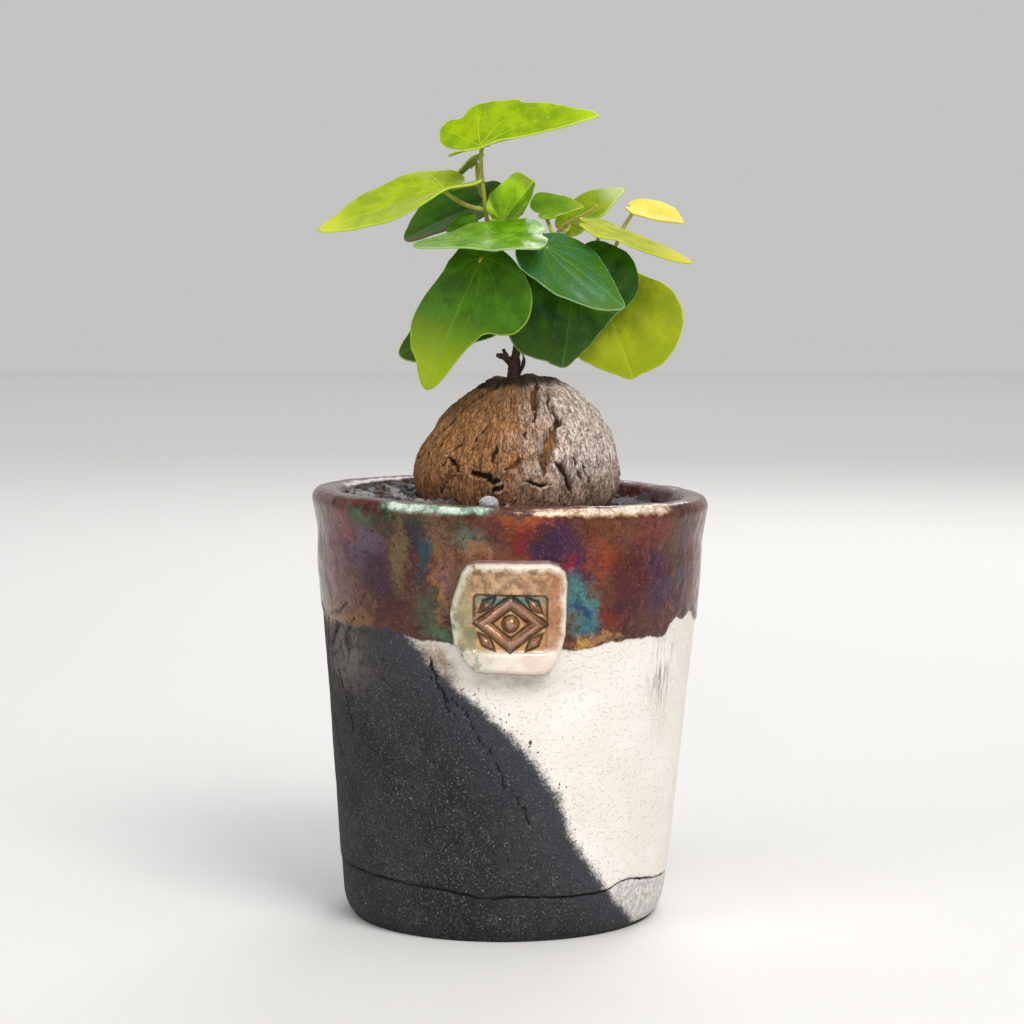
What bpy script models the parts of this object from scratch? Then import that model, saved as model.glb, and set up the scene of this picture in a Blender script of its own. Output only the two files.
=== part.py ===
"""A young elephant's foot caudex plant in a tapered, hand-made pot.

The origin is on the table plane under the centre of the pot's rim. +Z is up, the pot's medallion faces -Y and
+X is to its right. Lengths are written in millimetres and turned to metres by MM where a mesh is made.
"""

import math
import random
from dataclasses import dataclass

import bmesh
import bpy
from mathutils import Matrix, Vector, noise

MM = 0.001
GAP = 0.3
WELD = 0.01

# Pot: a thick-walled cup with a rounded lip, a set-in base band and a drain hole
POT_HEIGHT = 96.5
RIM_RADIUS = 44.9
WALL = 6.4
FLOOR_HEIGHT = 7.0
DRAIN_RADIUS = 5.5
DRAIN_CHAMFER = 0.6
SEAM_HEIGHT = 10.4
SEAM_DEPTH = 0.8
POT_SEGMENTS = 48
BASE_OFFSET = -1.5
RIM_TILT = math.radians(1.3)
TILT_STARTS = 3.0
TILT_FULL = 12.0
WOBBLE = 0.22

# Medallion: an eight-sided pad of clay pressed on the front wall, with a shallow stamped field. The outlines
# are drawn in (x, z).
PAD_OUTLINE = (
    (-12.8, 73.1), (-12.2, 77.4), (-10.5, 80.8), (-8.1, 83.4), (-5.6, 84.5), (6.9, 84.9), (9.9, 83.8),
    (11.6, 82.1), (12.5, 79.6), (12.3, 72.1), (11.4, 67.1), (9.3, 61.7), (7.6, 60.5), (-6.7, 60.8),
    (-9.0, 62.4), (-11.7, 66.7),
)
FIELD_OUTLINE = (
    (-7.5, 66.4), (-7.5, 76.8), (-6.5, 77.8), (7.4, 77.8),
    (8.4, 76.8), (8.4, 66.4), (7.4, 65.4), (-6.5, 65.4),
)
PAD_PROUD = 3.0
PAD_ROOT = 3.0
PAD_EDGE = 1.3
PAD_CREASES = (-10, -5, 0, 5, 10)
FIELD_DEPTH = 0.8

# Substrate: black grit, higher on the left than on the right
SUBSTRATE_LEVEL = 93.6
SUBSTRATE_SLOPE = 0.065
CHUNK_COUNT = 60
CHUNK_SIZES = (3.0, 5.0)
CHUNK_SINK = 0.8
TOP_ZONE = 3.0
TOP_INSET = 0.4
GOLDEN_SHARE = 0.618034
GOLDEN_ANGLE = math.tau * (1 - GOLDEN_SHARE)

# Caudex: a corky dome with deep fissures, buried by a third
CAUDEX_CENTRE = (1.5, 0.0, 100.0)
CAUDEX_RADIUS = 23.4
CAUDEX_RISE = 23.7
CAUDEX_DEPTH = 15.0
CAUDEX_SEGMENTS = 60
CAUDEX_RINGS = 24
LEFT_SLUMP = 4.2
CROWN_DIP = 1.6
CROWN_WIDTH = 0.16
CROWN_HOLE_DEPTH = 3.0
BURIED = -0.35
SEAT_GAP = 1.05

# Vine: thin stems from a woody foot in the crown, each a run of (x, y, z, radius)
WOODY_RADIUS = 1.5
CROWN_HOLE_RADIUS = WOODY_RADIUS + GAP + 0.1

# Leaves: heart-shaped blades, each on its own petiole
PETIOLE_RADIUS = 0.5
BLADE_THICKNESS = 0.65
SINUS_SHARE = 0.1
SPOKE_ANGLES = (0, 5, 11, 20, 32, 46, 62, 80, 100, 120, 140, 160)
SMALL_LEAF = 12.5
RING_SHARES = (0.36, 0.72, 1.0)
SMALL_RING_SHARES = (0.5, 1.0)
PETIOLE_RUN = 1.8
PETIOLE_SINK = (0.4, 0.3)
STEM_GAP = 0.5


def clear_scene():
    for obj in list(bpy.data.objects):
        bpy.data.objects.remove(obj)


def collection(name):
    group = bpy.data.collections.new(name)
    bpy.context.scene.collection.children.link(group)
    return group


def material(name, colour, roughness):
    finish = bpy.data.materials.new(name)
    finish.use_nodes = True
    shader = finish.node_tree.nodes["Principled BSDF"]
    shader.inputs["Base Color"].default_value = (*colour, 1.0)
    shader.inputs["Roughness"].default_value = roughness
    return finish


def add_object(name, mesh, group):
    obj = bpy.data.objects.new(name, mesh)
    group.objects.link(obj)
    return obj


def mesh_from(bm, name):
    """A mesh in metres from a bmesh in millimetres, which is freed."""
    mesh = bpy.data.meshes.new(name)
    bmesh.ops.transform(bm, matrix=Matrix.Scale(MM, 4), verts=bm.verts)
    bm.to_mesh(mesh)
    bm.free()
    return mesh


def apply_modifiers(obj):
    depsgraph = bpy.context.evaluated_depsgraph_get()
    mesh = bpy.data.meshes.new_from_object(obj.evaluated_get(depsgraph))
    obj.modifiers.clear()
    obj.data = mesh


def boolean(obj, operation, operand=None, group=None):
    """Combine obj with one operand, or with every object of a group."""
    cut = obj.modifiers.new(operation.title(), "BOOLEAN")
    cut.operation = operation
    cut.solver = "EXACT"
    if group is None:
        cut.object = operand
    else:
        cut.operand_type = "COLLECTION"
        cut.collection = group


def remove_all(group):
    for obj in list(group.objects):
        bpy.data.objects.remove(obj)


def as_guide(obj):
    obj.hide_render = True
    obj.display_type = "WIRE"


def smoothstep(low, high, value):
    share = min(1.0, max(0.0, (value - low) / (high - low)))
    return share * share * (3 - 2 * share)


def between(table, x):
    """The value at x of a smooth curve through a table of (x, value) pairs."""
    for i in range(len(table) - 1):
        (x0, y0), (x1, y1) = table[i], table[i + 1]
        if x <= x1:
            before = table[i - 1] if i else (x0 - (x1 - x0), y1)
            after = table[i + 2] if i + 2 < len(table) else (x1 + (x1 - x0), y0)
            slope_0 = (y1 - before[1]) / (x1 - before[0])
            slope_1 = (after[1] - y0) / (after[0] - x0)
            width = x1 - x0
            t = (x - x0) / width
            return (
                (2 * t**3 - 3 * t**2 + 1) * y0
                + (t**3 - 2 * t**2 + t) * width * slope_0
                + (3 * t**2 - 2 * t**3) * y1
                + (t**3 - t**2) * width * slope_1
            )
    return table[-1][1]


# The pot

OUTER_PROFILE = (
    (43.2, POT_HEIGHT),
    (44.5, POT_HEIGHT - 1.0),
    (RIM_RADIUS, POT_HEIGHT - 2.6),
    (44.4, 91.2),
    (43.7, 87.0),
    (43.6, 80.8),
    (42.6, 67.7),
    (40.5, 44.0),
    (38.6, 21.0),
    (37.95, SEAM_HEIGHT + 2.2),
    (37.75, SEAM_HEIGHT + 0.7),
    (37.6 - SEAM_DEPTH, SEAM_HEIGHT),
    (37.3, SEAM_HEIGHT - 0.7),
    (37.3, 7.0),
    (36.9, 4.2),
    (35.9, 1.6),
    (34.3, 0.0),
)
INNER_PROFILE = (
    (28.0, FLOOR_HEIGHT),
    (31.2, FLOOR_HEIGHT + 2.2),
    (32.2, FLOOR_HEIGHT + 6.0),
    (37.2, 80.0),
    (38.2, POT_HEIGHT - 3.4),
    (38.9, POT_HEIGHT - 1.2),
    (40.3, POT_HEIGHT - 0.1),
)


def hand_shaped(point):
    """Where a point of a truly turned pot lies on this one, which leans, tilts and isn't quite round."""
    x, y, z = point
    angle = math.atan2(y, x)
    share = smoothstep(0.0, POT_HEIGHT, z)
    swell = 1 + WOBBLE * share * math.sin(3 * angle + 0.6) / RIM_RADIUS
    lean = BASE_OFFSET * max(0.0, 1 - z / POT_HEIGHT) ** 1.5
    drop = x * math.tan(RIM_TILT) * smoothstep(TILT_STARTS, TILT_FULL, z)
    return Vector((x * swell + lean, y * swell, z - drop))


def turned(name, points, group, closed=True, segments=POT_SEGMENTS):
    """A profile turned about +Z and given the pot's hand-made shape. An open one ends on the axis."""
    outline = bpy.data.meshes.new(name)
    edges = [(i, (i + 1) % len(points)) for i in range(len(points) if closed else len(points) - 1)]
    outline.from_pydata([(r * MM, 0.0, z * MM) for r, z in points], edges, [])
    obj = add_object(name, outline, group)
    screw = obj.modifiers.new("Turn", "SCREW")
    screw.steps = segments
    screw.render_steps = segments
    screw.use_merge_vertices = True
    screw.merge_threshold = WELD * MM
    apply_modifiers(obj)
    for vertex in obj.data.vertices:
        vertex.co = hand_shaped(vertex.co / MM) * MM
    return obj


def wall_radius(z):
    """The radius of the outer wall at a height above the base band."""
    return between(tuple((height, radius) for radius, height in reversed(OUTER_PROFILE[:-4])), z)


def wall_block(name, outline, near, far, edge=0.0):
    """A block bent round the wall, from near to far in front of its surface, its front rim rounded by edge."""
    bm = bmesh.new()
    inner, outer = ([bm.verts.new((x, -depth, z)) for x, z in outline] for depth in (near, far))
    bm.faces.new(inner)
    front = bm.faces.new(outer)
    for i in range(len(outline)):
        bm.faces.new((inner[i - 1], inner[i], outer[i], outer[i - 1]))
    bmesh.ops.recalc_face_normals(bm, faces=bm.faces)
    if edge:
        bmesh.ops.bevel(bm, geom=list(front.edges), offset=edge, segments=2, profile=0.5, affect="EDGES")
    for x in PAD_CREASES:
        parts = [*bm.verts, *bm.edges, *bm.faces]
        bmesh.ops.bisect_plane(bm, geom=parts, plane_co=(x, 0, 0), plane_no=(1, 0, 0))
    for vertex in bm.verts:
        x, y, z = vertex.co
        angle = math.asin(x / (wall_radius(z) + PAD_PROUD))
        radius = wall_radius(z) - y
        vertex.co = hand_shaped((radius * math.sin(angle), -radius * math.cos(angle), z))
    return mesh_from(bm, name)


def make_pot(group, cutters):
    drain = (
        (DRAIN_RADIUS + DRAIN_CHAMFER, 0.0),
        (DRAIN_RADIUS, DRAIN_CHAMFER),
        (DRAIN_RADIUS, FLOOR_HEIGHT),
    )
    pot = turned("pot", OUTER_PROFILE + drain + INNER_PROFILE, group)
    for name, operation, outline, near, far, edge in (
        ("medallion_pad", "UNION", PAD_OUTLINE, -PAD_ROOT, PAD_PROUD, PAD_EDGE),
        ("medallion_field", "DIFFERENCE", FIELD_OUTLINE, PAD_PROUD - FIELD_DEPTH, PAD_PROUD + 1, 0.0),
    ):
        block = add_object(name, wall_block(name, outline, near, far, edge), cutters)
        as_guide(block)
        boolean(pot, operation, block)
        apply_modifiers(pot)
    pot.data.shade_smooth()
    pot.data.set_sharp_from_angle(angle=math.radians(35))
    pot.data.materials.append(material("raku_clay", (0.12, 0.11, 0.11), 0.55))


# The caudex

# Each fissure of the front: its depth, its width and its route of (azimuth, elevation) in degrees
FISSURES = (
    (2.6, 1.5, ((8, 84), (10, 66), (9, 52), (16, 40), (8, 28), (4, 14))),
    (2.2, 1.3, ((8, 66), (24, 58), (33, 48), (25, 38), (21, 24), (22, 6))),
    (1.8, 1.2, ((-58, 34), (-42, 20), (-30, 18), (-16, 10), (-6, 8))),
    (1.6, 1.2, ((-4, 12), (14, 8), (26, 10))),
    (1.5, 1.1, ((24, 26), (32, 10), (40, -4))),
    (1.3, 1.0, ((40, 42), (56, 30))),
    (1.4, 1.0, ((-16, 34), (-22, 18))),
)
SIDE_FISSURE_COUNT = 22
SIDE_FISSURE_STEPS = 4
SIDES_START = 70
SIDES_SPAN = 220


def side_fissures():
    """Fissures for the sides and the back, drawn like those of the front, from the crown down or short."""
    draw = random.Random(11)
    found = []
    for i in range(SIDE_FISSURE_COUNT):
        azimuth = SIDES_START + SIDES_SPAN * (i + draw.uniform(0.2, 0.8)) / SIDE_FISSURE_COUNT
        top = draw.choice((78, 60, 46, 34))
        length = draw.uniform(22, 44)
        route = tuple(
            (azimuth + draw.uniform(-7, 7) + 4 * k, top - length * k / SIDE_FISSURE_STEPS)
            for k in range(SIDE_FISSURE_STEPS + 1)
        )
        found.append((draw.uniform(1.2, 2.2), draw.uniform(1.0, 1.4), route))
    return tuple(found)


def direction(azimuth, elevation):
    """The unit vector at an azimuth from the front towards the right, and an elevation, in degrees."""
    a, e = math.radians(azimuth), math.radians(elevation)
    return Vector((math.sin(a) * math.cos(e), -math.cos(a) * math.cos(e), math.sin(e)))


def segment_distance(point, start, end):
    along = end - start
    share = max(0.0, min(1.0, (point - start).dot(along) / max(along.length_squared, 1e-9)))
    return (point - start - along * share).length


def fissure_depth(way, fissures):
    """How far the fissures sink the surface in the direction way, in millimetres."""
    depth = 0.0
    spot = way * CAUDEX_RADIUS
    for deep, wide, route in fissures:
        points = [direction(*p) * CAUDEX_RADIUS for p in route]
        nearest = min(segment_distance(spot, points[i], points[i + 1]) for i in range(len(points) - 1))
        depth = max(depth, deep * math.exp(-((nearest / wide) ** 2)))
    return depth


def caudex_point(way, sunk):
    """The point of the dome in the direction way, with its surface lowered by sunk."""
    across = math.hypot(way.x, way.y)
    rise = CAUDEX_RISE if way.z > 0 else CAUDEX_DEPTH
    reach = 1 / math.sqrt((across / CAUDEX_RADIUS) ** 2 + (way.z / rise) ** 2)
    slump = LEFT_SLUMP * max(0.0, -way.x) * max(0.0, way.z)
    ripple = 0.5 * noise.noise(way * 4.0) + 0.45 * noise.noise(Vector((way.x * 9, way.y * 9, way.z * 3)))
    crown_dip = CROWN_DIP * math.exp(-((across / CROWN_WIDTH) ** 2)) if way.z > 0 else 0.0
    length = reach - slump + ripple - sunk - crown_dip
    return Vector(CAUDEX_CENTRE) + way * length


def caudex_bmesh(extra=0.0, plain=False):
    """The dome in millimetres, grown by extra. A plain one is coarser and has no fissures."""
    fissures = () if plain else FISSURES + side_fissures()
    segments = CAUDEX_SEGMENTS // 2 if plain else CAUDEX_SEGMENTS
    rings = CAUDEX_RINGS // 2 if plain else CAUDEX_RINGS
    bm = bmesh.new()
    bmesh.ops.create_uvsphere(bm, u_segments=segments, v_segments=rings, radius=1.0)
    for vertex in bm.verts:
        way = vertex.co.normalized()
        sunk = fissure_depth(way, fissures) if way.z > BURIED else 0.0
        vertex.co = caudex_point(way, sunk - extra)
    return bm


def make_caudex(group, cutters):
    caudex = add_object("caudex", mesh_from(caudex_bmesh(), "caudex"), group)
    hole = bmesh.new()
    bmesh.ops.create_cone(
        hole, cap_ends=True, segments=16, radius1=CROWN_HOLE_RADIUS, radius2=CROWN_HOLE_RADIUS,
        depth=2 * CROWN_HOLE_DEPTH, matrix=Matrix.Translation(STEMS["main"][0][:3]),
    )
    socket = add_object("crown_hole", mesh_from(hole, "crown_hole"), cutters)
    as_guide(socket)
    boolean(caudex, "DIFFERENCE", socket)
    apply_modifiers(caudex)
    caudex.data.shade_smooth()
    caudex.data.materials.append(material("corky_bark", (0.26, 0.15, 0.08), 0.8))


# The substrate

def chunk_bmesh(draw, centre, size):
    """An angular piece of grit: a cube with its corners moved about."""
    bm = bmesh.new()
    bmesh.ops.create_cube(bm, size=1.0)
    for vertex in bm.verts:
        vertex.co = Vector(c * size * draw.uniform(0.75, 1.35) for c in vertex.co)
    axis = Vector(draw.gauss(0, 1) for _ in range(3)).normalized()
    turn = Matrix.Rotation(draw.uniform(0, math.tau), 4, axis)
    bmesh.ops.transform(bm, matrix=Matrix.Translation(centre) @ turn, verts=bm.verts)
    bmesh.ops.triangulate(bm, faces=bm.faces)
    return bm


def surface_height(x, y):
    """The mean height of the grit's top at a place."""
    return SUBSTRATE_LEVEL - SUBSTRATE_SLOPE * x + 0.5 * noise.noise(Vector((x / 7, y / 7, 0.3)))


def make_substrate(group, cutters):
    edge = between(tuple((height, radius - GAP) for radius, height in INNER_PROFILE), SUBSTRATE_LEVEL)
    rings = [(edge * share, SUBSTRATE_LEVEL) for share in (0.0, 0.5, 0.7, 0.86, 1.0)]
    (floor_edge, _), (corner, corner_height), *wall = INNER_PROFILE
    sides = [(r - GAP, z) for r, z in reversed(wall) if z < SUBSTRATE_LEVEL - TOP_ZONE]
    bottom = [
        (corner - GAP, corner_height + GAP),
        (floor_edge - GAP, FLOOR_HEIGHT + GAP),
        (0.0, FLOOR_HEIGHT + GAP),
    ]
    fill = turned("substrate", rings + sides + bottom, group, closed=False, segments=POT_SEGMENTS // 2)
    inset = 1 - TOP_INSET / edge
    for vertex in fill.data.vertices:
        x, y, z = vertex.co / MM
        if z > SUBSTRATE_LEVEL - TOP_ZONE:
            vertex.co = Vector((x * inset, y * inset, surface_height(x, y) - CHUNK_SINK)) * MM
    draw = random.Random(4)
    chunks = collection("grit_chunks")
    for i in range(CHUNK_COUNT):
        angle = GOLDEN_ANGLE * i + draw.uniform(-0.1, 0.1)
        size = draw.uniform(*CHUNK_SIZES)
        inside = CAUDEX_RADIUS + 0.2 * size
        outside = edge - 1.15 * size
        radius = math.sqrt(inside**2 + (outside**2 - inside**2) * ((i * GOLDEN_SHARE) % 1.0))
        x, y = radius * math.cos(angle), radius * math.sin(angle)
        centre = Vector((x, y, surface_height(x, y) - CHUNK_SINK + 0.2 * size))
        add_object(f"chunk_{i}", mesh_from(chunk_bmesh(draw, centre, size), f"chunk_{i}"), chunks)
    boolean(fill, "UNION", group=chunks)
    apply_modifiers(fill)
    remove_all(chunks)
    hollow = mesh_from(caudex_bmesh(extra=SEAT_GAP, plain=True), "caudex_seat")
    seat = add_object("caudex_seat", hollow, cutters)
    as_guide(seat)
    boolean(fill, "DIFFERENCE", seat)
    apply_modifiers(fill)
    fill.data.materials.append(material("black_grit", (0.03, 0.03, 0.035), 0.9))


# The vine

STEMS = {
    "main": (
        (1.0, 0.0, 120.5, WOODY_RADIUS), (1.2, 0.0, 125.5, 1.35), (1.6, 0.3, 128.5, 1.0),
        (2.4, 1.4, 134.0, 0.75), (1.2, 2.2, 141.0, 0.7), (-2.4, 2.0, 147.5, 0.65), (-4.4, 1.2, 154.0, 0.6),
        (-5.4, 0.8, 160.0, 0.55), (-6.0, 0.4, 166.0, 0.5),
    ),
    "right": (
        (1.9, 0.6, 131.0, 0.7), (4.6, 2.6, 137.5, 0.7), (7.0, 3.4, 143.6, 0.65), (9.0, 3.0, 150.0, 0.6),
        (11.5, 2.4, 155.8, 0.55), (15.6, 1.8, 158.4, 0.5), (19.5, 1.5, 160.6, 0.45),
    ),
    "side": (
        (9.0, 3.0, 150.2, 0.5), (14.0, 5.4, 149.4, 0.5), (19.5, 7.5, 149.4, 0.5), (23.6, 8.4, 150.8, 0.5),
        (25.6, 8.6, 155.4, 0.45),
    ),
    "stub_left": ((1.2, 0.0, 124.8, 1.1), (-0.8, -0.6, 126.6, 0.9), (-3.0, -1.0, 127.4, 0.5)),
    "stub_fork": ((-0.4, -0.5, 126.3, 0.8), (-1.4, 0.2, 128.6, 0.45)),
}


def smooth_route(points, steps=2):
    """More rows of values on a smooth curve through the given ones."""
    rows = [tuple(p) for p in points]
    route = []
    for i in range(len(rows) - 1):
        before = rows[max(i - 1, 0)]
        after = rows[min(i + 2, len(rows) - 1)]
        for k in range(steps):
            t = k / steps
            weights = (
                -0.5 * t + t**2 - 0.5 * t**3,
                1 - 2.5 * t**2 + 1.5 * t**3,
                0.5 * t + 2 * t**2 - 1.5 * t**3,
                0.5 * (t**3 - t**2),
            )
            columns = zip(before, rows[i], rows[i + 1], after)
            route.append(tuple(sum(w * value for w, value in zip(weights, column)) for column in columns))
    route.append(rows[-1])
    return route


def tube(name, route, group, sides=8):
    """A closed tube along a route of (x, y, z, radius)."""
    curve = bpy.data.curves.new(name, "CURVE")
    curve.dimensions = "3D"
    curve.bevel_depth = MM
    curve.bevel_resolution = sides // 2 - 2
    curve.use_fill_caps = True
    line = curve.splines.new("POLY")
    line.points.add(len(route) - 1)
    for point, (x, y, z, radius) in zip(line.points, route):
        point.co = (x * MM, y * MM, z * MM, 1.0)
        point.radius = radius
    drawn = add_object(name + "_line", curve, group)
    depsgraph = bpy.context.evaluated_depsgraph_get()
    mesh = bpy.data.meshes.new_from_object(drawn.evaluated_get(depsgraph))
    bm = bmesh.new()
    bm.from_mesh(mesh)
    bmesh.ops.remove_doubles(bm, verts=bm.verts, dist=0.1 * WELD * MM)
    bmesh.ops.triangulate(bm, faces=bm.faces)
    bm.to_mesh(mesh)
    bm.free()
    obj = add_object(name, mesh, group)
    bpy.data.objects.remove(drawn)
    return obj


def make_vine(group):
    branches = collection("vine_branches")
    vine = tube("vine", smooth_route(STEMS["main"]), group, sides=6)
    for name, points in STEMS.items():
        if name != "main":
            tube(f"vine_{name}", smooth_route(points), branches, sides=6)
    boolean(vine, "UNION", group=branches)
    apply_modifiers(vine)
    remove_all(branches)
    vine.data.shade_smooth()
    vine.data.materials.append(material("dry_stem", (0.12, 0.05, 0.02), 0.7))


# The leaves

@dataclass
class Leaf:
    """One leaf: its junction with the petiole, its tip, and the margin of each half as shares of that length.

    The upper surface looks towards face. Each half is turned up from it by its fold, in degrees at the base
    and at the tip. The left half is on the left of the midrib as seen from above with the tip ahead. The
    petiole leaves its stem at the point stem and passes through the points of petiole.
    """

    junction: tuple
    tip: tuple
    face: tuple
    left: tuple
    right: tuple
    stem: tuple
    tone: str
    left_fold: tuple = (0, 0)
    right_fold: tuple = (0, 0)
    stem_radius: float = 0.6
    petiole: tuple = ()
    arch: float = 8.0
    wave: float = 0.35
    waves: int = 5

    @property
    def length(self):
        return (Vector(self.tip) - Vector(self.junction)).length


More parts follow.
